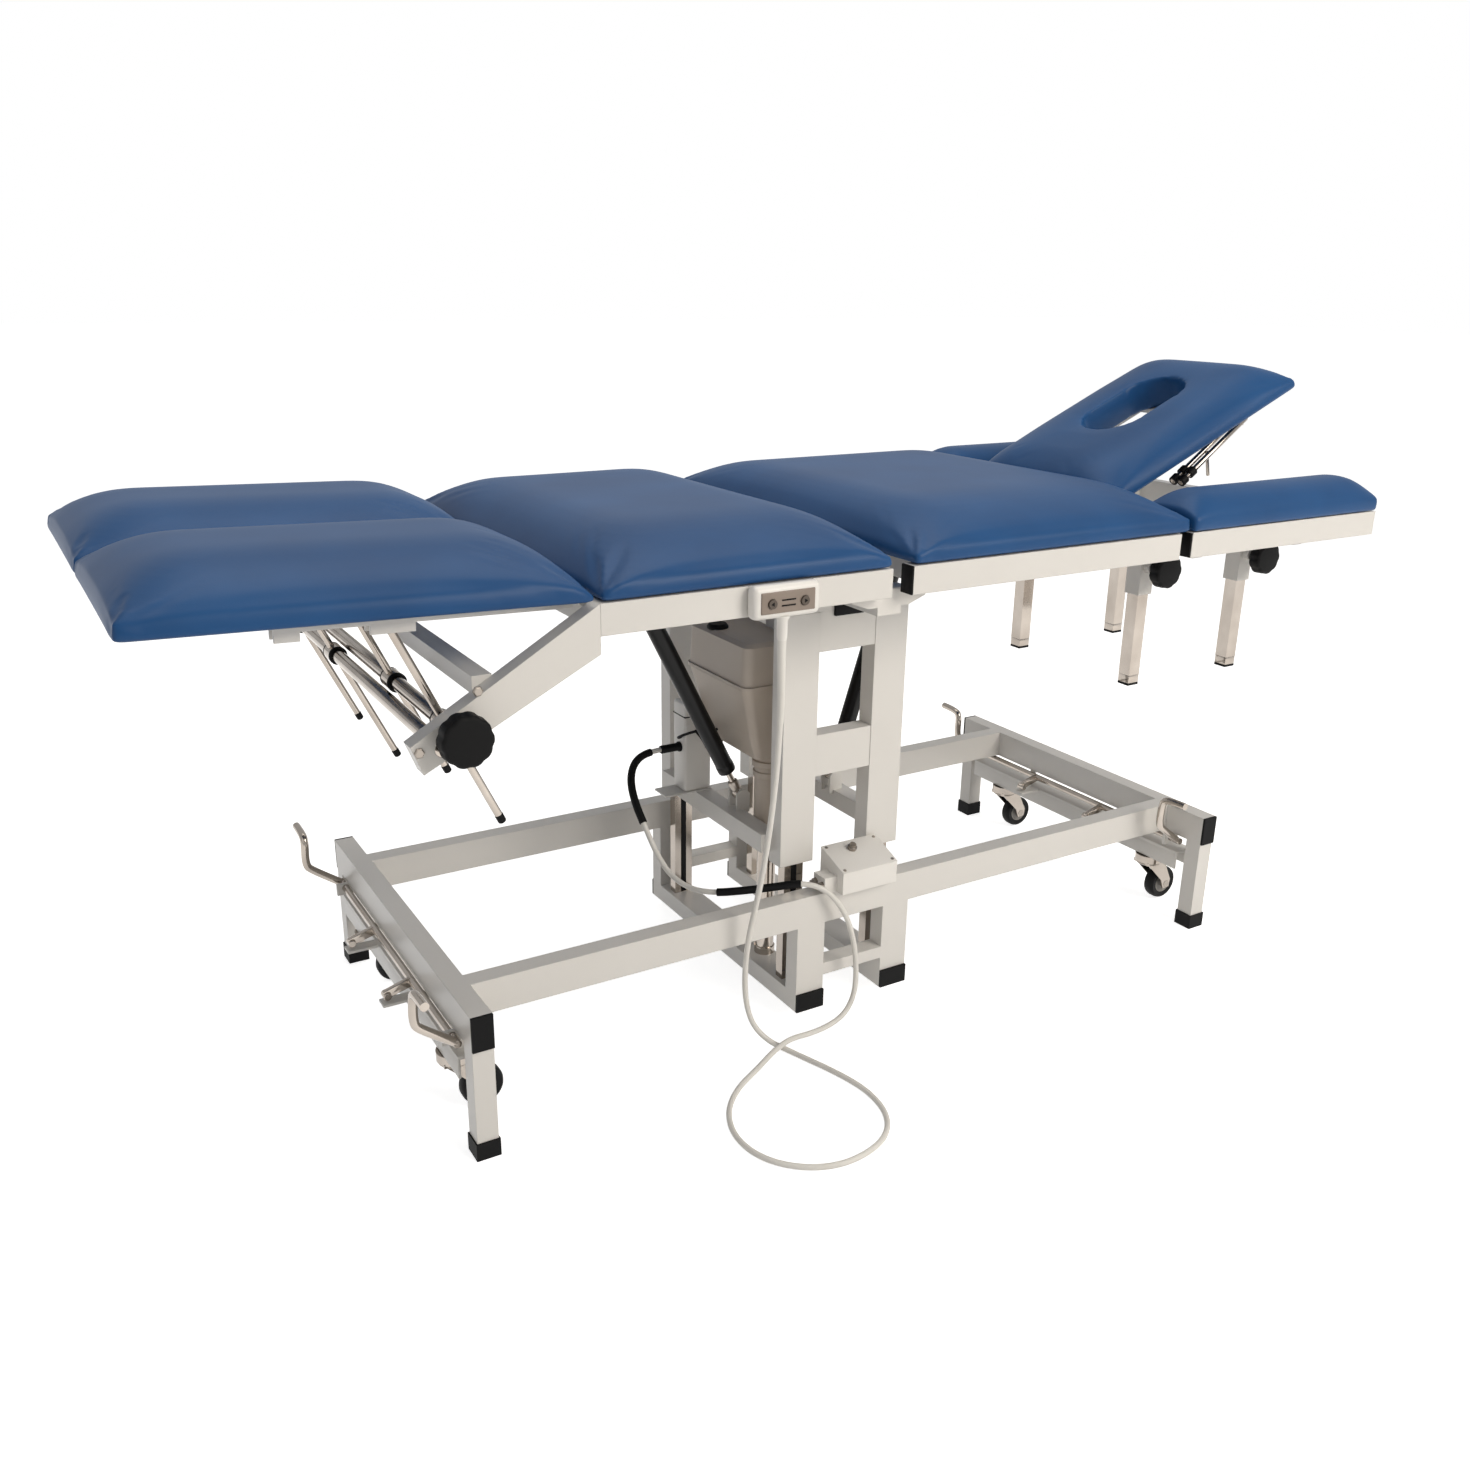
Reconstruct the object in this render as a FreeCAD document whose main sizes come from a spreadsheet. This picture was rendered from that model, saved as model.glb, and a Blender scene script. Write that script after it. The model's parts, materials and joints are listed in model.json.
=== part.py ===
import FreeCAD, Part
import Sketcher
import math
import os

from FreeCAD import Vector, Rotation, Placement

doc = FreeCAD.newDocument("TreatmentCouch")

# Driving dimensions, in millimetres and degrees
sheet = doc.addObject("Spreadsheet::Sheet", "Dimensions")
driving = {
    "baseCentre": 43.5,
    "tubeWide": 30,
    "tubeTall": 50,
    "crossbarAt": 675,
    "crossbarHalf": 322,
    "railOut": 241.5,
    "railLow": 165,
    "sillLow": 20,
    "sillWide": 50,
    "leftColumn": -114,
    "rightColumn": 47.5,
    "columnOut": 179,
    "columnLong": 34,
    "columnThick": 18,
    "columnTop": 452,
    "postLong": 60,
    "postThick": 32,
    "postWall": 2,
    "postLow": 250,
    "postTop": 646,
    "frameThick": 25,
    "frameTall": 40,
    "frameOut": 355,
    "frameLow": 700,
    "padHalf": 359.5,
    "padUnder": 742,
    "padEdge": 25,
    "padCrown": 66,
    "seatHinge": -106,
    "backHinge": -15,
    "hingeHeight": 722,
    "pinRadius": 6,
    "legHinge": -514,
    "legHingeHeight": 735,
    "legRise": 1.75,
    "clampRadius": 9.5,
    "stayRadius": 5,
    "staySlope": 64.8,
    "strutRadius": 14,
    "strutRod": 5,
    "strutAcross": -45,
    "armPost": 25,
    "armPostOut": 143,
    "sleeveWide": 32,
    "legKnob": 67,
    "armKnob": 62,
    "headRise": 23.5,
    "headHalf": 175,
    "headLong": 478,
    "wheelRadius": 31,
    "wheelWide": 22,
    "castorTrail": 36,
    "pedalBar": 12,
    "leadWide": 8.5,
    "runFit": 0.05,
    "looseFit": 0.3,
}
for row, (alias, value) in enumerate(driving.items(), start=1):
    sheet.set("A%d" % row, alias)
    sheet.set("B%d" % row, str(value))
    sheet.setAlias("B%d" % row, alias)
doc.recompute()
size = {alias: float(sheet.get(alias)) for alias in driving}

base = size["baseCentre"]
railTop = size["railLow"] + size["tubeTall"]
railIn = size["railOut"] - size["tubeWide"]
frameIn = size["frameOut"] - size["frameThick"]
sillTop = size["sillLow"] + size["tubeWide"]
columns = (base + size["leftColumn"], base + size["rightColumn"])
postHalf = size["postLong"] / 2
postIn = size["columnOut"] - size["postThick"] / 2
postOut = size["columnOut"] + size["postThick"] / 2

nodes = []


def bind(thing, bindings):
    """Ties a feature's sizes to the sheet; a plain number is set as it is."""
    for name, source in bindings.items():
        if isinstance(source, str):
            for alias in sorted(driving, key=len, reverse=True):
                source = source.replace("<%s>" % alias, "Dimensions." + alias)
            thing.setExpression(name, source)
        else:
            setattr(thing, name, source)


def block(corner, along, across, up):
    """A straight box whose lowest corner stands at corner."""
    box = doc.addObject("Part::Box", "Block")
    bind(box, {"Length": along, "Width": across, "Height": up})
    box.Placement = Placement(Vector(*corner), Rotation())
    return box


def rod(start, end, radius):
    """A round bar from start to end."""
    bar = doc.addObject("Part::Cylinder", "Bar")
    way = Vector(*end) - Vector(*start)
    bind(bar, {"Radius": radius, "Height": way.Length})
    bar.Placement = Placement(Vector(*start), Rotation(Vector(0, 0, 1), way))
    return bar


def pin(x, z, low, high, radius):
    """A round bar along Y."""
    return rod((x, low, z), (x, high, z), radius)


def join(parts, label=None):
    whole = doc.addObject("Part::MultiFuse", "Joined")
    whole.Shapes = parts
    if label:
        name(whole, label)
    return whole


def cut(solid, tools, label=None):
    tool = tools[0] if len(tools) == 1 else join(tools)
    rest = doc.addObject("Part::Cut", "CutAway")
    rest.Base = solid
    rest.Tool = tool
    if label:
        name(rest, label)
    return rest


def name(thing, label):
    thing.Label = label
    nodes.append(thing)
    return thing


def plane(body, role):
    return next(f for f in body.Origin.OriginFeatures if f.Role == role)


def outline(body, role, points, offset=0.0, radius=0.0):
    """A closed sketch of straight edges, with each corner rounded by radius."""
    sketch = body.newObject("Sketcher::SketchObject", "Outline")
    sketch.AttachmentSupport = [(plane(body, role), "")]
    sketch.MapMode = "FlatFace"
    sketch.AttachmentOffset = Placement(Vector(0, 0, offset), Rotation())
    count = len(points)
    corners = [Vector(x, y, 0) for x, y in points]
    if not radius:
        for i in range(count):
            sketch.addGeometry(Part.LineSegment(corners[i], corners[(i + 1) % count]))
        for i in range(count):
            sketch.addConstraint(Sketcher.Constraint("Coincident", i, 2, (i + 1) % count, 1))
        return sketch
    starts = []
    ends = []
    arcs = []
    for i in range(count):
        before = (corners[i - 1] - corners[i]).normalize()
        after = (corners[(i + 1) % count] - corners[i]).normalize()
        half = before.getAngle(after) / 2
        back = radius / math.tan(half)
        middle = corners[i] + (before + after).normalize() * (radius / math.sin(half) - radius)
        starts.append(corners[i] + before * back)
        ends.append(corners[i] + after * back)
        arcs.append(middle)
    for i in range(count):
        sketch.addGeometry(Part.Arc(starts[i], arcs[i], ends[i]))
        sketch.addGeometry(Part.LineSegment(ends[i], starts[(i + 1) % count]))
    return sketch


def plate(points, low, high, radius=0.0, label=None):
    """A flat profile in the X-Z plane, given its thickness along Y."""
    body = doc.addObject("PartDesign::Body", "Plate")
    sketch = outline(body, "XZ_Plane", points, -low, radius)
    pad = body.newObject("PartDesign::Pad", "Thickness")
    pad.Profile = sketch
    pad.Length = high - low
    pad.Reversed = True
    if label:
        name(body, label)
    return body


def cushion(label, low, high, under, crown, insets, place=None):
    """A padded top: a thin upright edge, and a crown that rises in shallow steps inside it."""
    (x0, y0), (x1, y1) = low, high
    edge = size["padEdge"]

    def ring(backX, backY, corner):
        """A rectangle set back from the edges, with its corners taken off."""
        left, right, near, far = x0 + backX, x1 - backX, y0 + backY, y1 - backY
        return [(left + corner, near), (right - corner, near), (right, near + corner), (right, far - corner),
                (right - corner, far), (left + corner, far), (left, far - corner), (left, near + corner)]

    body = doc.addObject("PartDesign::Body", "Cushion")
    sketches = [outline(body, "XY_Plane", ring(0, 0, 5), under), outline(body, "XY_Plane", ring(8, 8, 7), under + edge)]
    for rise, share in ((0.37, 0.17), (0.66, 0.38), (0.88, 0.67), (1, 1)):
        backs = [8 + inset * share for inset in insets]
        sketches.append(outline(body, "XY_Plane", ring(*backs, 8 + 12 * share), under + edge + rise * (crown - edge)))
    doc.recompute()
    loft = body.newObject("PartDesign::AdditiveLoft", "Crown")
    loft.Profile = sketches[0]
    loft.Sections = sketches[1:]
    loft.Ruled = True
    if place:
        body.Placement = place
    name(body, label)
    return body


def tilt(x, z, angle):
    """A turn about a line along Y through x, z; positive lifts the +X side."""
    turn = Rotation(Vector(0, -1, 0), angle)
    middle = Vector(x, 0, z)
    return Placement(middle - turn.multVec(middle), turn)


def sides(low, high):
    """The near and the far band between two distances from the middle plane."""
    return ((-high, -low), (low, high))


# Base frame: two crossbars on legs, two long rails, and the tower's sills and lower posts
frame = []
for end in (-1, 1):
    middle = base + end * size["crossbarAt"]
    crossbar = block((middle - 15, -size["crossbarHalf"], size["railLow"]), "<tubeWide>",
                     "2 * <crossbarHalf>", "<tubeTall>")
    bores = [rod((middle, y, 164), (middle, y, 206), "<pinRadius> + <runFit>") for y in (-120, 120)]
    frame.append(cut(crossbar, bores))
    for low, high in sides(size["crossbarHalf"] - size["tubeWide"], size["crossbarHalf"]):
        frame.append(block((middle - 15, low, 3), "<tubeWide>", "<tubeWide>", "<railLow> - 3"))
    for low, high in sides(254, 260):
        lug = plate([(middle - 34, 146), (middle - 34, 165), (middle + 6, 165), (middle - 10, 146)], low, high)
        frame.append(cut(lug, [pin(middle - 20, 157.5, low - 1, high + 1, "<pinRadius> + <runFit>")]))
for low, high in sides(railIn, size["railOut"]):
    frame.append(block((base - 660, low, size["railLow"]), 1320, "<tubeWide>", "<tubeTall>"))
    frame.append(block((columns[0] + 25, low, 73), columns[1] - columns[0] - 50, "<tubeWide>", 20))
    for column in columns:
        frame.append(block((column - 25, low, sillTop), "<sillWide>", "<tubeWide>", "<railLow> - 50"))
for column in columns:
    frame.append(block((column - 25, -size["railOut"], size["sillLow"]), "<sillWide>", "2 * <railOut>",
                       "<tubeWide>"))
join(frame, "base_frame")

# Black end caps of the base: a cup under each leg and a plug in each open tube end
caps = []
for end in (-1, 1):
    middle = base + end * size["crossbarAt"]
    for side in (-1, 1):
        y = side * (size["crossbarHalf"] - 15)
        cup = block((middle - 17, y - 17, 0), "<tubeWide> + 4", "<tubeWide> + 4", 26)
        caps.append(cut(cup, [block((middle - 15, y - 15, 3), "<tubeWide>", "<tubeWide>", 30)]))
    for low, high in sides(size["crossbarHalf"], size["crossbarHalf"] + 4):
        caps.append(block((middle - 15, low, size["railLow"]), "<tubeWide>", 4, "<tubeTall>"))
for column in columns:
    for low, high in sides(size["railOut"], size["railOut"] + 4):
        caps.append(block((column - 25, low, size["sillLow"]), "<sillWide>", 4, "<tubeWide>"))
join(caps, "base_caps")

# Telescoping guide columns that stand on the sills inside the lifting posts
guides = [block((column - 17, y - 9, sillTop), "<columnLong>", "<columnThick>", "<columnTop> - 50")
          for column in columns for y in (-size["columnOut"], size["columnOut"])]
join(guides, "guide_columns")

# Lifting actuator's rod and round foot, on the left sill
footX = base - 104
footY = -92
join([rod((footX, footY, sillTop), (footX, footY, sillTop + 12), 17),
      rod((footX, footY, sillTop + 12), (footX, footY, 395), 15)], "actuator_rod")

# Junction box on the near rail, with a sloping lid and a cable gland block
box = doc.addObject("PartDesign::Body", "JunctionBox")
boxSide = outline(box, "YZ_Plane", [(-262, railTop), (-200, railTop), (-200, 272), (-262, 250)], base - 72, 0)
boxPad = box.newObject("PartDesign::Pad", "BoxLong")
boxPad.Profile = boxSide
boxPad.Length = 102
doc.recompute()
gland = block((base - 95, -246, railTop), 23, 30, 26)
join([box, gland], "junction_box")

# Lifting posts: four hollow tubes, open at the bottom
posts = []
for column in columns:
    for y in (-size["columnOut"], size["columnOut"]):
        shell = block((column - 30, y - 16, size["postLow"]), "<postLong>", "<postThick>", "<postTop> - <postLow>")
        hollow = block((column - 28, y - 14, size["postLow"] - 1), "<postLong> - 2 * <postWall>",
                       "<postThick> - 2 * <postWall>", "<postTop> - <postLow> - 3")
        posts.append(cut(shell, [hollow]))
join(posts, "lift_posts")

# Members between the lifting posts, with the lower strut clevises and the control box shelf
members = []
for low, high in sides(postIn + 1, postOut - 1):
    for bottom, tall in ((389, 66), (585, 61)):
        members.append(block((columns[0] + postHalf, low, bottom), columns[1] - columns[0] - 2 * postHalf,
                             "<tubeWide>", tall))
for left in (columns[0] - 45, columns[1]):
    members.append(block((left, -postIn, 266), "<tubeWide>", 2 * postIn, "<tubeWide>"))
strutFeet = (base - 129, base + 52)
for foot in strutFeet:
    for low, high in sides(10, 14):
        y0 = size["strutAcross"] + low
        cheek = plate([(foot - 12, 290), (foot - 12, 322), (foot - 5, 329), (foot + 5, 329), (foot + 12, 322),
                       (foot + 12, 290)], y0, y0 + 4)
        members.append(cheek)
    members.append(pin(foot, 318, size["strutAcross"] - 14, size["strutAcross"] + 14, 4))
members.append(block((base - 215, 44, 296), 86, 40, 3))
join(members, "lift_members")

# Head of the lift: bearers, cross tube, actuator hanger and the two hinge plates
head = []
for low, high in sides(postIn + 1, postOut - 1):
    head.append(block((columns[0] - 30, low, size["postTop"]), columns[1] - columns[0] + 60, "<tubeWide>", 22))
head.append(block((base - 80, -326, 668), 40, 652, 30))
head.append(block((base - 76, -62, 588), 32, 30, 80))
seatAt = base + size["seatHinge"]
backAt = base + size["backHinge"]
top = size["hingeHeight"]
for low, high in sides(320, 326):
    ears = plate([(seatAt - 17, 690), (seatAt - 17, 722), (seatAt + 17, 722), (seatAt + 17, 704),
                  (backAt - 17, 704), (backAt - 17, 722), (backAt + 17, 722), (backAt + 17, 690),
                  (backAt - 10, 680), (seatAt + 10, 680)], low, high)
    rounds = [pin(x, top, low, high, 17) for x in (seatAt, backAt)]
    head.append(cut(join([ears] + rounds), [pin(x, top, low - 1, high + 1, "<pinRadius> + <runFit>")
                                            for x in (seatAt, backAt)]))
join(head, "lift_head")

# Actuator: moulded motor housing in two shells, and the outer tube round the rod
housing = doc.addObject("PartDesign::Body", "Housing")


def ring(x0, x1, y0, y1):
    return [(base + x0, y0), (base + x1, y0), (base + x1, y1), (base + x0, y1)]


lower = [outline(housing, "XY_Plane", ring(-140, -72, -118, 24), 400, 10),
         outline(housing, "XY_Plane", ring(-152, -66, -122, 34), 440, 12),
         outline(housing, "XY_Plane", ring(-168, -62, -125, 58), 516, 14)]
doc.recompute()
lowerShell = housing.newObject("PartDesign::AdditiveLoft", "LowerShell")
lowerShell.Profile = lower[0]
lowerShell.Sections = lower[1:]
lowerShell.Ruled = True
lip = housing.newObject("PartDesign::Pad", "Lip")
lip.Profile = outline(housing, "XY_Plane", ring(-171, -59, -128, 61), 516, 15)
lip.Length = 6
upper = [outline(housing, "XY_Plane", ring(-168, -62, -125, 58), 522, 14),
         outline(housing, "XY_Plane", ring(-166, -64, -123, 56), 582, 14),
         outline(housing, "XY_Plane", ring(-160, -70, -117, 50), 588, 10)]
doc.recompute()
upperShell = housing.newObject("PartDesign::AdditiveLoft", "UpperShell")
upperShell.Profile = upper[0]
upperShell.Sections = upper[1:]
upperShell.Ruled = True
doc.recompute()
outer = rod((footX, footY, 252), (footX, footY, 402), 22)
cut(join([housing, outer]), [rod((footX, footY, 251), (footX, footY, 583), 15 + size["looseFit"])],
    "actuator_housing")

# Control box on its shelf
plate([(base - 215, 299), (base - 130, 299), (base - 130, 460), (base - 215, 460)], 44, 84, 6, "control_box")

# Seat frame: side rails, cross rails, hinge pins, strut cheeks and the fixed hinge knuckles
legAt = base + size["legHinge"]
legUp = size["legHingeHeight"]
hinges = (-290, -110, 110, 290)
seat = []
for low, high in sides(frameIn, size["frameOut"]):
    seat.append(block((base - 511, low, size["frameLow"]), 432.5, "<frameThick>", "<frameTall>"))
for left in (-505, -385, -152):
    seat.append(block((base + left, -frameIn, size["frameLow"]), "<frameThick>", 2 * frameIn, "<frameTall>"))
for low, high in sides(319, 330):
    seat.append(pin(seatAt, top, low, high, "<pinRadius>"))
for low, high in sides(10, 14):
    y0 = size["strutAcross"] + low
    seat.append(plate([(base - 361, 702), (base - 361, 730), (base - 326, 724), (base - 319, 712),
                       (base - 326, 702)], y0, y0 + 4))
for low, high in sides(8, 10):
    seat.append(pin(base - 330, 712, size["strutAcross"] + low, size["strutAcross"] + high, 4))
for y in hinges:
    for low, high in ((y - 22, y - 11), (y + 11, y + 22)):
        seat.append(pin(legAt, legUp, low, high, 6))
        seat.append(block((legAt, low, legUp - 6), 10, 11, 7))
    seat.append(pin(legAt, legUp, y - 22, y + 22, 2.5))
join(seat, "seat_frame")

# Arms that run down from the seat rails and carry the leg clamp shafts
nearShaft = (base - 694.4, 608)
farShaft = (base - 713, 592)
arms = []
for low, high in sides(frameIn, size["frameOut"]):
    arm = plate([(base - 511.3, 740), (base - 751, 600), (base - 737, 564), (base - 511.3, 678)], low, high)
    bores = [pin(x, z, low - 1, high + 1, "<clampRadius> + <runFit>") for x, z in (nearShaft, farShaft)]
    arms.append(cut(arm, bores))
arms.append(block((base - 666, -frameIn, 644), "<frameThick>", 2 * frameIn, 22))
join(arms, "leg_arms")

# Seat and back cushions
cushion("seat_pad", (base - 511, -size["padHalf"]), (base - 78.5, size["padHalf"]), size["padUnder"],
        size["padCrown"], (94, 130))
cushion("back_pad", (base - 43, -size["padHalf"]), (base + 497, size["padHalf"]), size["padUnder"],
        size["padCrown"], (94, 130))

# Handset in its holder on the near seat rail
holder = plate([(base - 310, 698), (base - 209, 698), (base - 209, 742), (base - 310, 742)], -372, -355, 8)
window = plate([(base - 303, 703), (base - 216, 703), (base - 216, 737), (base - 303, 737)], -373, -362, 5)
cut(holder, [window], "handset_holder")
panel = plate([(base - 302.7, 703.3), (base - 216.3, 703.3), (base - 216.3, 736.7), (base - 302.7, 736.7)],
              -378, -362, 5)
buttonSpots = (base - 284, base - 235)
wells = [pin(x, 719, -379, -375, 6.3) for x in buttonSpots]
relief = doc.addObject("Part::Cone", "Relief")
bind(relief, {"Radius1": 5, "Radius2": 8, "Height": 32})
relief.Placement = Placement(Vector(base - 262, -367, 666), Rotation())
join([cut(panel, wells), relief], "handset")
for label, x in zip(("button_up", "button_down"), buttonSpots):
    name(pin(x, 719, -380, -376.5, 6), label)

# Leg sections: cushion, channel frame, clamp shaft, knob and the two stay rods of each
rise = tilt(legAt, size["padUnder"], -size["legRise"])
slope = math.radians(size["staySlope"])
along = Vector(-math.cos(slope), 0, math.sin(slope))


def starKnob(label, x, z, near, thick, diameter, bore, boreDepth, hub):
    """A star grip with eight shallow lobes; near is the face next to the clamp, and thick points outward."""
    out = 1 if thick > 0 else -1
    lobe = 0.21 * diameter
    reach = diameter / 2 - lobe
    face = near + out * hub
    pieces = [pin(x, z, *sorted((near, face)), 14), pin(x, z, *sorted((face, face + thick)), reach)]
    for i in range(8):
        angle = math.radians(45 * i)
        pieces.append(pin(x + reach * math.cos(angle), z + reach * math.sin(angle),
                          *sorted((face, face + thick)), lobe))
    return cut(join(pieces), [pin(x, z, *sorted((near - out, near + out * boreDepth)), bore)], label)


for leg, sign, shaft, reach, below in (("near", -1, nearShaft, 130, 152), ("far", 1, farShaft, 148, 185)):
    low, high = sorted((sign * 1.5, sign * size["padHalf"]))
    cushion("leg_pad_" + leg, (base - 1041, low), (base - 517, high), size["padUnder"], size["padCrown"], (94, 100), rise)
    rows = (sign * 310, sign * 110)
    bars = []
    for y in rows:
        for low, high in sides(8, 12):
            bars.append(block((base - 880, y + low, 719), 348, 4, 22.8))
    across = sorted((sign * 98, sign * 322))
    for left in (-880, -580):
        bars.append(block((base + left, across[0], 733), 30, across[1] - across[0], 8.8))
    flats = join(bars)
    flats.Placement = rise
    knuckles = []
    for y in hinges:
        if y * sign > 0:
            barrel = pin(legAt, legUp, y - 10, y + 10, 6)
            leaf = block((legAt - 66, y - 10, legUp - 2), 66, 20, 4)
            knuckles.append(cut(join([barrel, leaf]), [pin(legAt, legUp, y - 11, y + 11, 2.5 + size["runFit"])]))
    join([flats] + knuckles, "leg_frame_" + leg)
    x, z = shaft
    collars = [pin(x, z, y - 13, y + 13, 13) for y in rows]
    stub = sorted((sign * 355, sign * 378))
    bar = join([pin(x, z, -355, 355, "<clampRadius>"), pin(x, z, stub[0], stub[1], 6)] + collars)
    crossings = []
    rods = []
    for y in rows:
        middle = Vector(x, y, z)
        crossings.append(rod(middle - along * 20, middle + along * 20, "<stayRadius> + <runFit>"))
        rods.append(rod(middle - along * below, middle + along * reach, "<stayRadius>"))
    cut(bar, crossings, "clamp_shaft_" + leg)
    join(rods, "stay_rods_" + leg)
    starKnob("leg_knob_" + leg, x, z, sign * 358, sign * 24, size["legKnob"], 6.05, 22, 12)

# Gas struts: a rod with an eye at the foot, and a cylinder with an eye at the top
strutTops = (base - 330, base + 176)
for part, foot, head, keep in (("seat", strutFeet[0], strutTops[0], 200), ("back", strutFeet[1], strutTops[1], 262)):
    start = Vector(foot, size["strutAcross"], 318)
    end = Vector(head, size["strutAcross"], 712)
    way = (end - start).normalize()
    across = size["strutAcross"]
    eye = join([pin(foot, 318, across - 7, across + 7, 9), rod(start, start + way * keep, "<strutRod>")])
    cut(eye, [pin(foot, 318, across - 8, across + 8, 4.05)], "strut_rod_" + part)
    body = rod(start + way * 50, end - way * 38, "<strutRadius>")
    neck = rod(end - way * 40, end - way * 5, 6)
    ball = pin(head, 712, across - 7, across + 7, 9)
    cut(join([body, neck, ball]), [rod(start + way * 49, start + way * (keep + 6), "<strutRod> + <runFit>")],
        "strut_cylinder_" + part)

# Back frame: side rails, cross rails, hinge pins, strut cheeks and head hinge knuckles
headAt = base + 501
headUp = 735
headHinges = (-75, 75)
back = []
for low, high in sides(frameIn, size["frameOut"]):
    back.append(block((base - 43, low, size["frameLow"]), 520, "<frameThick>", "<frameTall>"))
for left in (8, 204, 452):
    back.append(block((base + left, -frameIn, size["frameLow"]), "<frameThick>", 2 * frameIn, "<frameTall>"))
for low, high in sides(319, 330):
    back.append(pin(backAt, top, low, high, "<pinRadius>"))
for low, high in sides(10, 14):
    y0 = size["strutAcross"] + low
    back.append(plate([(base + 204, 702), (base + 204, 730), (base + 172, 724), (base + 165, 712),
                       (base + 172, 702)], y0, y0 + 4))
for low, high in sides(8, 10):
    back.append(pin(base + 176, 712, size["strutAcross"] + low, size["strutAcross"] + high, 4))
for y in headHinges:
    for low, high in ((y - 22, y - 11), (y + 11, y + 22)):
        back.append(pin(headAt, headUp, low, high, 6))
        back.append(block((base + 477, low, headUp - 6), 24, 11, 7))
    back.append(pin(headAt, headUp, y - 22, y + 22, 2.5))
join(back, "back_frame")

# Head subframe: two rails on from the back frame, with an end rail
railOuter = size["armPostOut"] - size["armPost"] / 2
sub = []
for low, high in sides(railOuter - size["frameThick"], railOuter):
    sub.append(block((base + 477, low, size["frameLow"]), 428, "<frameThick>", "<frameTall>"))
sub.append(block((base + 880, -(railOuter - size["frameThick"]), size["frameLow"]), "<frameThick>",
                 2 * (railOuter - size["frameThick"]), "<frameTall>"))
join(sub, "head_subframe")

# Armrest posts: square bars that hang from the head subframe
postX = (base + 629, base + 884)
bars = [block((x - 12.5, side * size["armPostOut"] - 12.5, 440), "<armPost>", "<armPost>", 300)
        for x in postX for side in (-1, 1)]
join(bars, "armrest_posts")

# Black plugs of the back section: foot plugs under the posts and plugs in the rail ends
plugs = [block((x - 14, side * size["armPostOut"] - 14, 421), "<armPost> + 3", "<armPost> + 3", 19)
         for x in postX for side in (-1, 1)]
for low, high in sides(frameIn, size["frameOut"]):
    plugs.append(block((base - 46, low, size["frameLow"]), 3, "<frameThick>", "<frameTall>"))
for low, high in sides(railOuter - size["frameThick"], railOuter):
    plugs.append(block((base + 905, low, size["frameLow"]), 3, "<frameThick>", "<frameTall>"))
join(plugs, "back_plugs")

# Head cushion with its face hole, on a light bar frame hinged to the back
headTilt = tilt(headAt, headUp, size["headRise"])
hx0 = base + 505
hx1 = hx0 + size["headLong"]
pillow = cushion("head_shape", (hx0, -size["headHalf"]), (hx1, size["headHalf"]), size["padUnder"], 62, (62, 76))
nodes.remove(pillow)
holeMiddle = hx0 + 263
hole = doc.addObject("PartDesign::Body", "FaceHole")
slot = hole.newObject("Sketcher::SketchObject", "SlotOutline")
slot.AttachmentSupport = [(plane(hole, "XY_Plane"), "")]
slot.MapMode = "FlatFace"
slot.AttachmentOffset = Placement(Vector(0, 0, size["padUnder"] - 5), Rotation())
slot.addGeometry(Part.LineSegment(Vector(holeMiddle - 45, 62.5, 0), Vector(holeMiddle + 45, 62.5, 0)))
slot.addGeometry(Part.Arc(Vector(holeMiddle + 45, 62.5, 0), Vector(holeMiddle + 107.5, 0, 0),
                          Vector(holeMiddle + 45, -62.5, 0)))
slot.addGeometry(Part.LineSegment(Vector(holeMiddle + 45, -62.5, 0), Vector(holeMiddle - 45, -62.5, 0)))
slot.addGeometry(Part.Arc(Vector(holeMiddle - 45, -62.5, 0), Vector(holeMiddle - 107.5, 0, 0),
                          Vector(holeMiddle - 45, 62.5, 0)))
drill = hole.newObject("PartDesign::Pad", "HoleDepth")
drill.Profile = slot
drill.Length = 90
doc.recompute()
headPad = cut(pillow, [hole], "head_pad")
headPad.Placement = headTilt
flats = [block((base + 512, y - 10, 733), 360, 20, 8.8) for y in (-85, 85)]
flats.append(block((base + 852, -75, 733), 20, 150, 8.8))
flats.append(block((base + 520, -75, 733), 20, 150, 8.8))
headBars = join(flats)
headBars.Placement = headTilt
knuckles = []
for y in headHinges:
    barrel = pin(headAt, headUp, y - 10, y + 10, 6)
    leaf = block((headAt, y - 10, headUp - 2), 30, 20, 4)
    leaf.Placement = tilt(headAt, headUp, size["headRise"]).multiply(leaf.Placement)
    knuckles.append(cut(join([barrel, leaf]), [pin(headAt, headUp, y - 11, y + 11, 2.5 + size["runFit"])]))
join([headBars] + knuckles, "head_frame")

# Chrome lifting bar under the head cushion, on two short posts
barWay = headTilt.Rotation.multVec(Vector(1, 0, 0))
barDrop = headTilt.Rotation.multVec(Vector(0, 0, -1))
barStart = headTilt.multVec(Vector(base + 680, -85, 703))
lifting = [rod(barStart, barStart + barWay * 190, 6)]
for reach in (12, 178):
    foot = barStart + barWay * reach
    lifting.append(rod(foot - barDrop * 30, foot, 4))
join(lifting, "head_bar")

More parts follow.
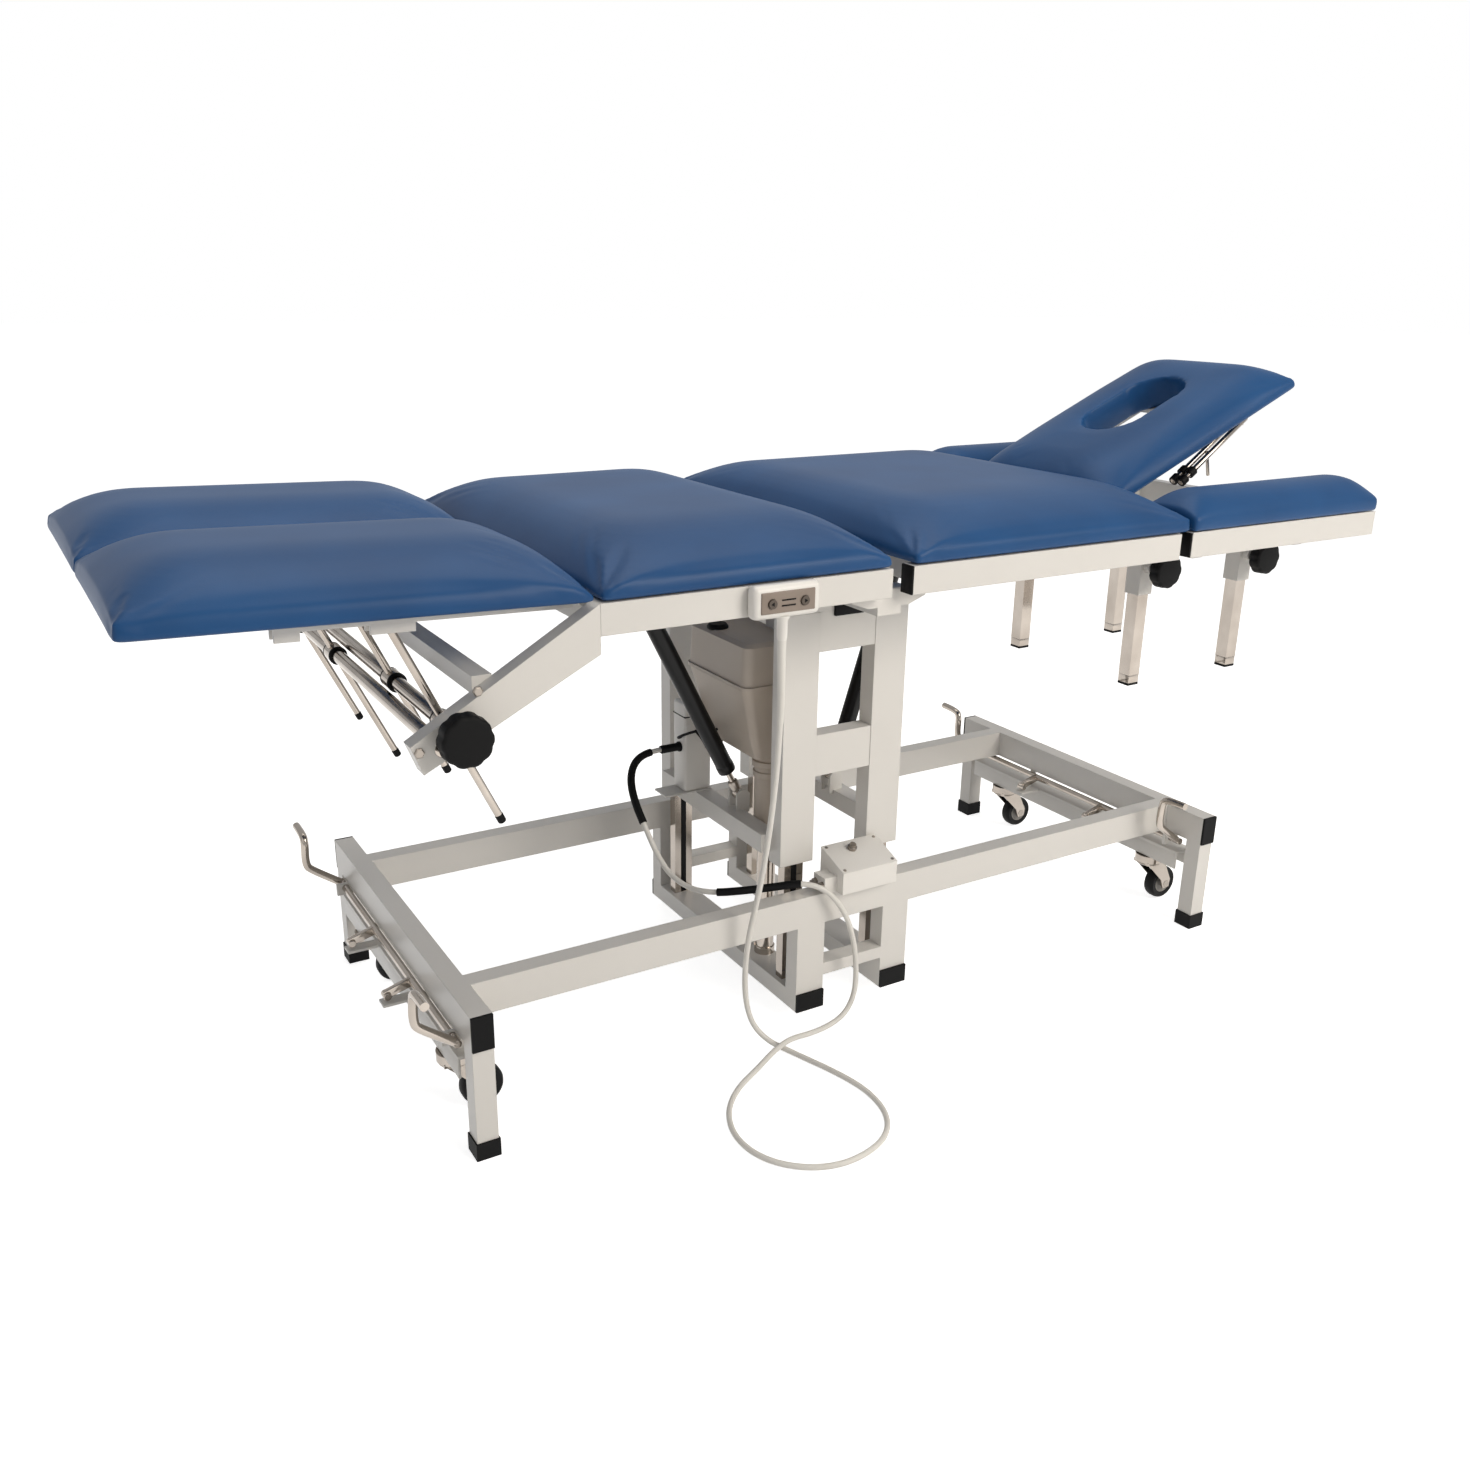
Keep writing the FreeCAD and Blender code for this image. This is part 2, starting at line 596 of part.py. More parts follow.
# Armrests: frame with sleeves on the posts, cushion, and the clamp knobs
for arm, sign in (("near", -1), ("far", 1)):
    rails = []
    for low, high in (sides(frameIn, size["frameOut"])[(sign + 1) // 2], sides(245, 270)[(sign + 1) // 2]):
        rails.append(block((base + 502.5, low, size["frameLow"]), 451.5, "<frameThick>", "<frameTall>"))
    low, high = sorted((sign * 270, sign * frameIn))
    for left in (502.5, 929):
        rails.append(block((base + left, low, size["frameLow"]), "<frameThick>", high - low, "<frameTall>"))
    for x in postX:
        low, high = sorted((sign * 159, sign * 262))
        rails.append(block((x - 12.5, low, 672), "<armPost>", high - low, 28))
        middle = sign * size["armPostOut"]
        sleeve = block((x - 16, middle - 16, 588), "<sleeveWide>", "<sleeveWide>", 102)
        boss = pin(x, 638, *sorted((sign * 158, sign * 172)), 11)
        bore = block((x - 12.8, middle - 12.8, 587), "<armPost> + 2 * <looseFit>", "<armPost> + 2 * <looseFit>", 104)
        clamp = pin(x, 638, *sorted((sign * 150, sign * 173)), 5 + size["runFit"])
        rails.append(cut(join([sleeve, boss]), [bore, clamp]))
    join(rails, "armrest_frame_" + arm)
    low, high = sorted((sign * 240, sign * size["padHalf"]))
    cushion("armrest_pad_" + arm, (base + 502.5, low), (base + 954, high), size["padUnder"], 48, (40, 44))
    for place, x in zip(("foot", "head"), postX):
        grip = starKnob("knob_shape", x, 638, sign * 176, sign * 22, size["armKnob"], 5, 2, 12)
        nodes.remove(grip)
        screw = pin(x, 638, *sorted((sign * 156.2, sign * 180)), 5)
        join([grip, screw], "armrest_knob_%s_%s" % (arm, place))

# Castor ends: pedal shaft with bent pedals, castor beam, forks and wheels
for end, sign in (("foot", -1), ("head", 1)):
    middle = base + sign * size["crossbarAt"]
    axis = middle - 20
    bars = [pin(axis, 157.5, -283, 283, 6)]
    for side in (-1, 1):
        y = side * 277
        first = Vector(axis, y, 157.5)
        second = Vector(axis - 50, y, 194.5)
        third = Vector(axis - 53, y, 250)
        tip = Vector(axis - 53, y + side * 50, 250)
        bars += [rod(first, second, 6), rod(second, third, 6), rod(third, tip, 6)]
        for knee in (second, third):
            ball = doc.addObject("Part::Sphere", "Bend")
            ball.Radius = 6
            ball.Placement.Base = knee
            bars.append(ball)
        y = side * 90
        lever = plate([(axis + 4, 150), (axis + 1, 164), (axis - 42, 149), (axis - 41, 139)], y - 4, y + 4)
        bars += [lever, pin(axis - 37.6, 143.8, y - 8, y + 8, 6)]
    join(bars, "pedal_" + end)
    beam = [block((middle - 20, -277, 100), 40, 554, 35)]
    beam.append(block((middle - 72, -105, 129), 52, 210, 6))
    beam += [rod((middle, y, 134), (middle, y, 203), "<pinRadius>") for y in (-120, 120)]
    bores = [rod((middle, y, 99), (middle, y, 128), "<pinRadius> + <runFit>") for y in (-200, 200)]
    cut(join(beam), bores, "castor_beam_" + end)
    for side, y in (("near", -200), ("far", 200)):
        race = rod((middle, y, 86), (middle, y, 99.7), 25)
        stem = rod((middle, y, 99), (middle, y, 126), "<pinRadius>")
        cheeks = [plate([(middle - 20, 86), (middle + 24, 86), (middle + 46, 42), (middle + 44, 27),
                         (middle + 29, 26), (middle + 22, 44)], y + low, y + high) for low, high in sides(14, 17)]
        crown = block((middle - 20, y - 17, 82), 44, 34, 6)
        axle = pin(middle + size["castorTrail"], 34, y - 16, y + 16, 4)
        join([race, stem, crown, axle] + cheeks, "castor_fork_%s_%s" % (end, side))
        wheel = pin(middle + size["castorTrail"], 34, y - 11, y + 11, "<wheelRadius>")
        tread = doc.addObject("Part::Chamfer", "Tread")
        tread.Base = wheel
        tread.Edges = [(1, 4.0, 4.0), (3, 4.0, 4.0)]
        cut(tread, [pin(middle + size["castorTrail"], 34, y - 12, y + 12, 4 + size["runFit"])],
            "castor_wheel_%s_%s" % (end, side))


def tubeAlong(label, points, diameter, faces=8):
    """A plain lead, many-sided across, along straight runs that tangent arcs join."""
    corners = [Vector(*p) for p in points]
    edges = []
    radii = []
    last = corners[0]
    for i in range(1, len(corners) - 1):
        back = corners[i - 1] - corners[i]
        ahead = corners[i + 1] - corners[i]
        half = (math.pi - back.getAngle(ahead)) / 2
        reach = 0.45 * min(back.Length, ahead.Length)
        radius = reach / math.tan(half)
        radii.append(round(radius, 1))
        start = corners[i] + back.normalize() * reach
        end = corners[i] + ahead.normalize() * reach
        middle = corners[i] + (back + ahead).normalize() * (radius / math.cos(half) - radius)
        edges.append(Part.LineSegment(last, start).toShape())
        edges.append(Part.Arc(start, middle, end).toShape())
        last = end
    edges.append(Part.LineSegment(last, corners[-1]).toShape())
    path = Part.Wire(edges)
    # the section has a round lead's area
    step = 2 * math.pi / faces
    reach = diameter / 2 * math.sqrt(step / math.sin(step))
    turn = Rotation(Vector(0, 0, 1), corners[1] - corners[0])
    ring = [corners[0] + turn.multVec(Vector(reach * math.cos(i * step), reach * math.sin(i * step), 0))
            for i in range(faces)]
    tube = doc.addObject("Part::Feature", "Lead")
    tube.Shape = path.makePipeShell([Part.makePolygon(ring + ring[:1])], True, True)
    ratio = tube.Shape.Volume / (math.pi * diameter ** 2 / 4 * path.Length)
    print(label, "length", round(path.Length, 1), "volume ratio", round(ratio, 4), "radii", radii)
    return name(tube, label)


# Handset lead: down from the handset, a coil on the floor, over the rail and up to the control box
leadRoute = [(-262, -367, 666), (-262, -367, 630), (-254, -357, 570), (-243, -332, 460), (-238, -306, 350),
             (-236, -281, 262), (-244, -266, 182), (-245, -260, 112), (-240, -262, 64), (-229, -267, 33),
             (-212, -281, 12), (-195, -305, 5.2), (-182, -340, 4.6), (-164, -392, 4.9), (-151, -450, 4.6),
             (-159, -508, 4.9), (-188, -549, 4.6), (-236, -570, 4.9), (-290, -571, 4.6), (-338, -546, 4.9),
             (-368, -502, 4.6), (-373, -448, 4.9), (-352, -395, 4.6), (-312, -355, 5.2), (-262, -330, 8),
             (-222, -313, 17.5), (-184, -298, 17.5), (-142, -290, 9), (-102, -285, 9), (-70, -281, 20),
             (-51, -276, 46), (-46, -271, 84), (-50, -268, 128), (-61, -266, 170), (-80, -262, 206),
             (-101, -253, 230), (-130, -236, 239), (-166, -214, 231), (-212, -196, 228), (-248, -170, 222),
             (-268, -132, 218), (-280, -93, 227), (-288, -62, 253), (-293, -34, 288), (-296, -3, 322),
             (-289, 26, 348), (-270, 50, 366), (-242, 61, 375), (-215, 61, 375)]
tubeAlong("handset_lead", [(base + x, y, z) for x, y, z in leadRoute], size["leadWide"])

doc.recompute()
failed = [f.Label for f in doc.Objects if "Invalid" in f.State or "Error" in f.State]
if failed:
    raise RuntimeError("these failed to build: " + ", ".join(failed))
os.makedirs("parts", exist_ok=True)
for node in nodes:
    shape = node.Shape
    if shape.isNull() or not shape.isValid():
        raise RuntimeError(node.Label + " has no valid shape")
    shape.exportStep("parts/%s.step" % node.Label)
print(len(nodes), "pieces written")
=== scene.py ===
import json
import math

import bmesh
import bpy
from mathutils import Matrix, Vector


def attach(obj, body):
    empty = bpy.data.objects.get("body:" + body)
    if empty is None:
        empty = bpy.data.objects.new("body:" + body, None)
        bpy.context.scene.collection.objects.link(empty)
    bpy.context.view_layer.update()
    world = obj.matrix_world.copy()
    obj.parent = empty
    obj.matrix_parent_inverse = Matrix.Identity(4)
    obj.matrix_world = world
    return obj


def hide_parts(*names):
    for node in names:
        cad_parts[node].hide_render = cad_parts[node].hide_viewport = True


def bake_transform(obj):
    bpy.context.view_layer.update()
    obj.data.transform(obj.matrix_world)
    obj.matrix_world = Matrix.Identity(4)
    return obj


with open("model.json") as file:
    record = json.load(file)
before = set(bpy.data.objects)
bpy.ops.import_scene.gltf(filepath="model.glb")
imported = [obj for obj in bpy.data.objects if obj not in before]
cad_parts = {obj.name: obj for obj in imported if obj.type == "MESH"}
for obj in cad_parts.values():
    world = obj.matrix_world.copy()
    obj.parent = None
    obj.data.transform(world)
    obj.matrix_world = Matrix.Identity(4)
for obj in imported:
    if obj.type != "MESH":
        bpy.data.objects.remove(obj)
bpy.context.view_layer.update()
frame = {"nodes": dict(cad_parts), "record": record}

mm = 0.001
baseX = 43.5 * mm


def fromBase(x, y, z):
    # a point in millimetres, measured from the middle of the base
    return Vector((baseX + x * mm, y * mm, z * mm))


# Camera, at the photograph's place
print("camera")
view = {"place": (-1117.6, -1756.3, 1109.2), "yaw": 30.879, "pitch": 19.094, "roll": 0.722,
        "lens": 32.51}
camera = bpy.data.objects.new("camera", bpy.data.cameras.new("camera"))
bpy.context.collection.objects.link(camera)
bpy.context.scene.camera = camera
yaw, pitch, roll = (math.radians(view[k]) for k in ("yaw", "pitch", "roll"))
ahead = Vector((math.sin(yaw) * math.cos(pitch), math.cos(yaw) * math.cos(pitch), -math.sin(pitch)))
right = Vector((math.cos(yaw), -math.sin(yaw), 0))
up = right.cross(ahead)
tiltedRight = right * math.cos(roll) + up * math.sin(roll)
tiltedUp = up * math.cos(roll) - right * math.sin(roll)
turn = Matrix((tiltedRight, tiltedUp, -ahead)).transposed()
camera.matrix_world = Matrix.Translation(Vector(view["place"]) * mm) @ turn.to_4x4()
camera.data.sensor_width = 36
camera.data.lens = view["lens"]
camera.data.clip_start = 0.05


# Materials
def linear(code):
    # sRGB hex to linear colour
    parts = [int(code[i:i + 2], 16) / 255 for i in (1, 3, 5)]
    light = [p / 12.92 if p <= 0.04045 else ((p + 0.055) / 1.055) ** 2.4 for p in parts]
    return (*light, 1.0)


def addNode(material, kind, inputs=None, **settings):
    node = material.node_tree.nodes.new(kind)
    for key, value in settings.items():
        setattr(node, key, value)
    for key, value in (inputs or {}).items():
        if isinstance(value, bpy.types.NodeSocket):
            material.node_tree.links.new(value, node.inputs[key])
        else:
            node.inputs[key].default_value = value
    return node


def newMaterial(name):
    material = bpy.data.materials.new(name)
    material.use_nodes = True
    tree = material.node_tree
    shader = tree.nodes["Principled BSDF"]
    place = addNode(material, "ShaderNodeTexCoord").outputs["Object"]
    return material, shader, place


def mixTwo(material, amount, first, second):
    ramp = addNode(material, "ShaderNodeValToRGB", {"Fac": amount})
    ramp.color_ramp.elements[0].color = linear(first)
    ramp.color_ramp.elements[1].color = linear(second)
    return ramp


def link(material, output, target):
    material.node_tree.links.new(output, target)


# PVC-coated upholstery cloth: an embossed fine grain and a soft sheen on the crown
vinyl, shader, place = newMaterial("upholsteryVinyl")
grainMm = 1.6          # real grain is about 0.8 mm, drawn twice as coarse to show
cloud = addNode(vinyl, "ShaderNodeTexNoise", {"Vector": place, "Scale": 1000 / 170, "Detail": 3.0})
tone = mixTwo(vinyl, cloud.outputs["Fac"], "#164576", "#1D4F83")
tone.color_ramp.elements[0].position = 0.3
tone.color_ramp.elements[1].position = 0.7
link(vinyl, tone.outputs["Color"], shader.inputs["Base Color"])
grain = addNode(vinyl, "ShaderNodeTexVoronoi", {"Vector": place, "Scale": 1000 / grainMm},
                feature="SMOOTH_F1")
crease = addNode(vinyl, "ShaderNodeTexNoise", {"Vector": place, "Scale": 1000 / 45, "Detail": 4.0})
relief = addNode(vinyl, "ShaderNodeMath", {0: grain.outputs["Distance"], 1: crease.outputs["Fac"]},
                 operation="ADD")
bump = addNode(vinyl, "ShaderNodeBump", {"Height": relief.outputs[0], "Strength": 0.09, "Distance": 0.0006})
link(vinyl, bump.outputs["Normal"], shader.inputs["Normal"])
shader.inputs["Roughness"].default_value = 0.42
shader.inputs["Specular IOR Level"].default_value = 0.24
shader.inputs["Coat Weight"].default_value = 0.03
shader.inputs["Coat Roughness"].default_value = 0.38


def powderCoat(name, light, dark, edgeMm=1.4):
    # steel with a baked powder coat: satin, with a faint orange peel and rounded tube edges
    material, shader, place = newMaterial(name)
    patch = addNode(material, "ShaderNodeTexNoise", {"Vector": place, "Scale": 1000 / 240, "Detail": 2.0})
    tone = mixTwo(material, patch.outputs["Fac"], dark, light)
    link(material, tone.outputs["Color"], shader.inputs["Base Color"])
    soft = addNode(material, "ShaderNodeBevel", {"Radius": edgeMm * mm}, samples=4)
    peel = addNode(material, "ShaderNodeTexNoise", {"Vector": place, "Scale": 1000 / 2.5, "Detail": 1.0})
    bump = addNode(material, "ShaderNodeBump",
                   {"Height": peel.outputs["Fac"], "Normal": soft.outputs["Normal"],
                    "Strength": 0.06, "Distance": 0.0004})
    link(material, bump.outputs["Normal"], shader.inputs["Normal"])
    shader.inputs["Roughness"].default_value = 0.36
    shader.inputs["Coat Weight"].default_value = 0.15
    shader.inputs["Coat Roughness"].default_value = 0.2
    return material


framePaint = powderCoat("framePowderCoat", "#E4E2DE", "#DBD8D3")


def brightSteel(name, reflectionTint, light, rough, edgeMm=0.6):
    # chromed steel tube: mirror-like, with a very slight waviness from polishing; its dark grey-brown base
    # tones are painted reflection of the brown boards under the cushions
    material, shader, place = newMaterial(name)
    wave = addNode(material, "ShaderNodeTexNoise", {"Vector": place, "Scale": 1000 / 60, "Detail": 2.0})
    tone = mixTwo(material, wave.outputs["Fac"], reflectionTint, light)
    link(material, tone.outputs["Color"], shader.inputs["Base Color"])
    soft = addNode(material, "ShaderNodeBevel", {"Radius": edgeMm * mm}, samples=4)
    bump = addNode(material, "ShaderNodeBump",
                   {"Height": wave.outputs["Fac"], "Normal": soft.outputs["Normal"],
                    "Strength": 0.05, "Distance": 0.001})
    link(material, bump.outputs["Normal"], shader.inputs["Normal"])
    shader.inputs["Metallic"].default_value = 1.0
    shader.inputs["Roughness"].default_value = rough
    return material


# the chrome's grey-brown tones are painted reflection, not the metal's own colour
chrome = brightSteel("chromedSteel", "#958B82", "#C4BCB3", 0.14)
zinc = brightSteel("zincPlatedSteel", "#8E867E", "#B0A89F", 0.3)


def moulded(name, light, dark, rough, grainMm, strength=0.12, edgeMm=0.8, spec=0.45):
    # injection-moulded plastic or rubber: a fine spark-eroded grain
    material, shader, place = newMaterial(name)
    patch = addNode(material, "ShaderNodeTexNoise",
                    {"Vector": place, "Scale": 1000 / 90, "Detail": 2.0})
    tone = mixTwo(material, patch.outputs["Fac"], dark, light)
    link(material, tone.outputs["Color"], shader.inputs["Base Color"])
    soft = addNode(material, "ShaderNodeBevel", {"Radius": edgeMm * mm}, samples=4)
    grit = addNode(material, "ShaderNodeTexNoise",
                   {"Vector": place, "Scale": 1000 / grainMm, "Detail": 2.0})
    bump = addNode(material, "ShaderNodeBump",
                   {"Height": grit.outputs["Fac"], "Normal": soft.outputs["Normal"],
                    "Strength": strength, "Distance": 0.0004})
    link(material, bump.outputs["Normal"], shader.inputs["Normal"])
    shader.inputs["Roughness"].default_value = rough
    shader.inputs["Specular IOR Level"].default_value = spec
    return material


whiteAbs = moulded("whiteAbs", "#F0EEEA", "#E8E5E0", 0.34, 1.2, 0.05)
housingAbs = moulded("beigeHousingAbs", "#CDC2B6", "#C2B6A9", 0.45, 1.6)
blackNylon = moulded("blackNylon", "#0A0A0B", "#060607", 0.55, 1.2, spec=0.15)
capRubber = moulded("capRubber", "#0A0A0B", "#060607", 0.6, 1.4, spec=0.15)
tyreRubber = moulded("tyreRubber", "#0E0E0F", "#08080A", 0.55, 1.4, spec=0.18)
hubNylon = moulded("greyHubNylon", "#8D8A86", "#7E7B77", 0.45, 1.5)
panelAbs = moulded("taupePanelAbs", "#94877C", "#86796F", 0.4, 1.0, 0.05)
keyRubber = moulded("keyRubber", "#5E544C", "#544B44", 0.6, 0.8, 0.05)
leadSheath = moulded("whiteLeadSheath", "#E9E7E2", "#DFDCD6", 0.42, 1.4, 0.04, 0.2)
strutPaint = moulded("blackStrutPaint", "#0A0A0C", "#060607", 0.35, 2.0, 0.03, spec=0.25)

finishes = {
    "frame_paint": framePaint,
    "bright_steel": chrome,
    "blue_vinyl": vinyl,
    "black_plastic": blackNylon,
    "white_plastic": whiteAbs,
    "housing_plastic": housingAbs,
    "black_paint": strutPaint,
    "panel_plastic": panelAbs,
    "button_plastic": keyRubber,
    "tyre_rubber": tyreRubber,
    "cap_rubber": capRubber,
    "lead_sheath": leadSheath,
}
slotOf = {part["node"]: part["material_slot"] for part in frame["record"]["subparts"]}
for name, node in frame["nodes"].items():
    node.data.materials.clear()
    node.data.materials.append(finishes[slotOf[name]])


# Helpers for new pieces
def finishPiece(name, bm, material, body, sharpAngle):
    # the mesh becomes an object with one material, smooth up to sharpAngle in degrees, on its body
    mesh = bpy.data.meshes.new(name)
    bm.to_mesh(mesh)
    bm.free()
    piece = bpy.data.objects.new(name, mesh)
    bpy.context.collection.objects.link(piece)
    mesh.materials.append(material)
    mesh.shade_smooth()
    mesh.set_sharp_from_angle(angle=math.radians(sharpAngle))
    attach(piece, body)
    return piece


def evaluated(piece):
    # the piece's mesh with its modifiers applied
    graph = bpy.context.evaluated_depsgraph_get()
    return bpy.data.meshes.new_from_object(piece.evaluated_get(graph))


def addBlock(bm, low, high, bevelMm=1.0, segments=2, place=None):
    # a box between two corners, with rounded edges
    shape = bmesh.new()
    bmesh.ops.create_cube(shape, size=1)
    low, high = Vector(low), Vector(high)
    span = high - low
    spread = Matrix.Translation((low + high) / 2) @ Matrix.Diagonal((*span, 1))
    bmesh.ops.transform(shape, matrix=spread, verts=shape.verts)
    bmesh.ops.bevel(shape, geom=shape.edges[:], offset=bevelMm * mm, segments=segments,
                    affect="EDGES", profile=0.5, material=-1)
    addShape(bm, shape, place or Matrix.Identity(4))


def addShape(bm, shape, matrix):
    # a small shape made by itself is moved into place and joined to the piece
    bmesh.ops.transform(shape, matrix=matrix, verts=shape.verts)
    bmesh.ops.recalc_face_normals(shape, faces=shape.faces)
    mesh = bpy.data.meshes.new("shape")
    shape.to_mesh(mesh)
    shape.free()
    bm.from_mesh(mesh)
    bpy.data.meshes.remove(mesh)


def towards(centre, direction):
    # a place whose Z axis points along direction
    turn = Vector((0, 0, 1)).rotation_difference(Vector(direction))
    return Matrix.Translation(centre) @ turn.to_matrix().to_4x4()


def addTurned(bm, profile, centre, direction, steps=32):
    # a round piece: the profile's (radius, along) pairs in mm are spun about direction
    shape = bmesh.new()
    verts = [shape.verts.new((r * mm, 0, a * mm)) for r, a in profile]
    edges = [shape.edges.new(pair) for pair in zip(verts, verts[1:])]
    bmesh.ops.spin(shape, geom=verts + edges, cent=(0, 0, 0), axis=(0, 0, 1), angle=2 * math.pi,
                   steps=steps, use_merge=True)
    bmesh.ops.remove_doubles(shape, verts=shape.verts, dist=0.00002)
    addShape(bm, shape, towards(centre, direction))


# Handset lead: one smooth line from the handset over the floor and the rail to the control box
print("handset lead")
leadRoute = [(-262, -367, 666), (-262, -367, 630), (-254, -357, 570), (-243, -332, 460), (-238, -306, 350),
             (-236, -281, 262), (-244, -266, 182), (-245, -260, 112), (-240, -262, 64), (-229, -267, 33),
             (-212, -281, 12), (-195, -305, 5.2), (-182, -340, 4.6), (-164, -392, 4.9), (-151, -450, 4.6),
             (-159, -508, 4.9), (-188, -549, 4.6), (-236, -570, 4.9), (-290, -571, 4.6), (-338, -546, 4.9),
             (-368, -502, 4.6), (-373, -448, 4.9), (-352, -395, 4.6), (-312, -355, 5.2), (-262, -330, 8),
             (-222, -313, 17.5), (-184, -298, 17.5), (-142, -290, 9), (-102, -285, 9), (-70, -281, 20),
             (-51, -276, 46), (-46, -271, 84), (-50, -268, 128), (-61, -266, 170), (-80, -262, 206),
             (-101, -253, 230), (-130, -236, 239), (-166, -214, 231), (-212, -196, 228), (-248, -170, 222),
             (-268, -132, 218), (-280, -93, 227), (-288, -62, 253), (-293, -34, 288), (-296, -3, 322),
             (-289, 26, 348), (-270, 50, 366), (-242, 61, 375), (-215, 61, 375)]
lead = {
    "diameter": 8.5,
    "sleeve": 12.5,
    "sleeves": (("leadSleeveRail", (-130, -236, 239), (-244, -172, 223)),
                ("leadSleeveBox", (-292, -28, 296), (-236, 61, 375))),
    "lean": (0, 1.633, 2.4),        # the direction in which the lead changes from still to lifted
    "still": 0.27,                  # how far along that direction it still stands on the base
    "reliefRadius": 6.2,
    "reliefTaper": 0.76,
    "reliefTop": (682, 674),
    "reliefEnd": (-252, -354, 548),
}


def smoothPath(points):
    # closely spaced points along a NURBS line through the route
    curve = bpy.data.curves.new("route", "CURVE")
    curve.dimensions = "3D"
    spline = curve.splines.new("NURBS")
    spline.points.add(len(points) - 1)
    for spot, place in zip(spline.points, points):
        spot.co = (*place, 1)
    spline.order_u = 3
    spline.use_endpoint_u = True
    spline.resolution_u = 10
    holder = bpy.data.objects.new("route", curve)
    bpy.context.collection.objects.link(holder)
    bpy.context.view_layer.update()
    path = [v.co.copy() for v in evaluated(holder).vertices]
    bpy.data.objects.remove(holder)
    return path


def tubeOn(name, path, radius, material, sides=20, taper=1):
    # a mesh tube round points read from a smooth line
    curve = bpy.data.curves.new(name, "CURVE")
    curve.dimensions = "3D"
    spline = curve.splines.new("POLY")
    spline.points.add(len(path) - 1)
    for step, (spot, place) in enumerate(zip(spline.points, path)):
        spot.co = (*place, 1)
        spot.radius = 1 + (taper - 1) * step / (len(path) - 1)
    curve.bevel_depth = radius
    curve.bevel_resolution = sides // 4
    curve.use_fill_caps = True
    holder = bpy.data.objects.new(name + "Line", curve)
    bpy.context.collection.objects.link(holder)
    bpy.context.view_layer.update()
    mesh = evaluated(holder)
    bpy.data.objects.remove(holder)
    piece = bpy.data.objects.new(name, mesh)
    bpy.context.collection.objects.link(piece)
    mesh.name = name
    mesh.materials.clear()
    mesh.materials.append(material)
    mesh.shade_smooth()
    mesh.set_sharp_from_angle(angle=math.radians(50))
    return piece


leadPath = smoothPath([fromBase(*p) for p in leadRoute])
leadTube = tubeOn("handsetLead", leadPath, lead["diameter"] / 2 * mm, leadSheath)


def nearest(place):
    # index of the path point closest to a place in millimetres
    return min(range(len(leadPath)), key=lambda i: (leadPath[i] - fromBase(*place)).length)


sleeves = []
for label, first, last in lead["sleeves"]:
    a, b = sorted((nearest(first), nearest(last)))
    sleeves.append(tubeOn(label, leadPath[a:b + 1], lead["sleeve"] / 2 * mm, capRubber))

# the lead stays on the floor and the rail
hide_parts("handset_lead")
for piece in [leadTube] + sleeves:
    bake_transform(piece)

# its top runs in a soft white sleeve from the handset
reliefPath = [fromBase(-262, -367, z) for z in lead["reliefTop"]]
reliefPath += leadPath[:nearest(lead["reliefEnd"]) + 1]
relief = tubeOn("leadRelief", reliefPath, lead["reliefRadius"] * mm, leadSheath, 24, lead["reliefTaper"])
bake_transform(relief)


# Cushions: crowned forms that a short cloth simulation fills
print("cushions")


def turnAbout(pivot, degrees):
    # a turn about a line along Y through the pivot
    return (Matrix.Translation(pivot) @ Matrix.Rotation(math.radians(degrees), 4, "Y")
            @ Matrix.Translation(-pivot))


legRise = turnAbout(fromBase(-514, 0, 742), 1.75)
headRise = turnAbout(fromBase(501, 0, 735), -23.5)
# edge and crown are the heights at the rim and in the middle, and reach is how far in from each
# side the crown is full; blunt fills out the two ends, and thin takes height off them at a hinge
mainCushion = {"y": (-359, 359), "crown": 66, "edge": 20, "reach": (120, 190), "swell": 2.5,
               "voxel": 6}
legCushion = {"x": (-1040.5, -517.5), "crown": 68, "edge": 20, "blunt": (14, 3),
              "thin": (0, 10), "reach": (130, 150), "swell": 2.5, "voxel": 6, "place": legRise}
armCushion = {"x": (503, 953.5), "crown": 57, "edge": 18, "blunt": (14, 14), "thin": (0, 0),
              "reach": (80, 62), "swell": 2, "voxel": 4.5}
cushions = {
    "seatCushion": {**mainCushion, "node": "seat_pad", "body": "seat", "x": (-510.5, -79),
                    "blunt": (3, 6), "thin": (10, 6)},
    "backCushion": {**mainCushion, "node": "back_pad", "body": "back", "x": (-42.5, 496.5),
                    "blunt": (6, 14), "thin": (6, 0)},
    "legCushionNear": {**legCushion, "node": "leg_pad_near", "body": "leg_near", "y": (-359, -2)},
    "legCushionFar": {**legCushion, "node": "leg_pad_far", "body": "leg_far", "y": (2, 359)},
    "headCushion": {"node": "head_pad", "body": "head", "x": (505.5, 982.5), "y": (-174.5, 174.5),
                    "crown": 60, "edge": 15, "blunt": (14, 14), "thin": (0, 0), "reach": (90, 110),
                    "swell": 2.5, "voxel": 5, "place": headRise, "hole": (768, 90, 60)},
    "armCushionNear": {**armCushion, "node": "armrest_pad_near", "body": "armrest_near",
                       "y": (-359, -240.5)},
    "armCushionFar": {**armCushion, "node": "armrest_pad_far", "body": "armrest_far",
                      "y": (240.5, 359)},
}
cover = {"under": 741.2, "cuts": 39, "board": 3, "steps": 12, "pressure": 4, "hingeReach": 40}


def crownAt(across, reach):
    # height share of the crown at a distance from an edge
    share = min(max(across / reach, 0), 1)
    return 1 - (1 - share) ** 2.5


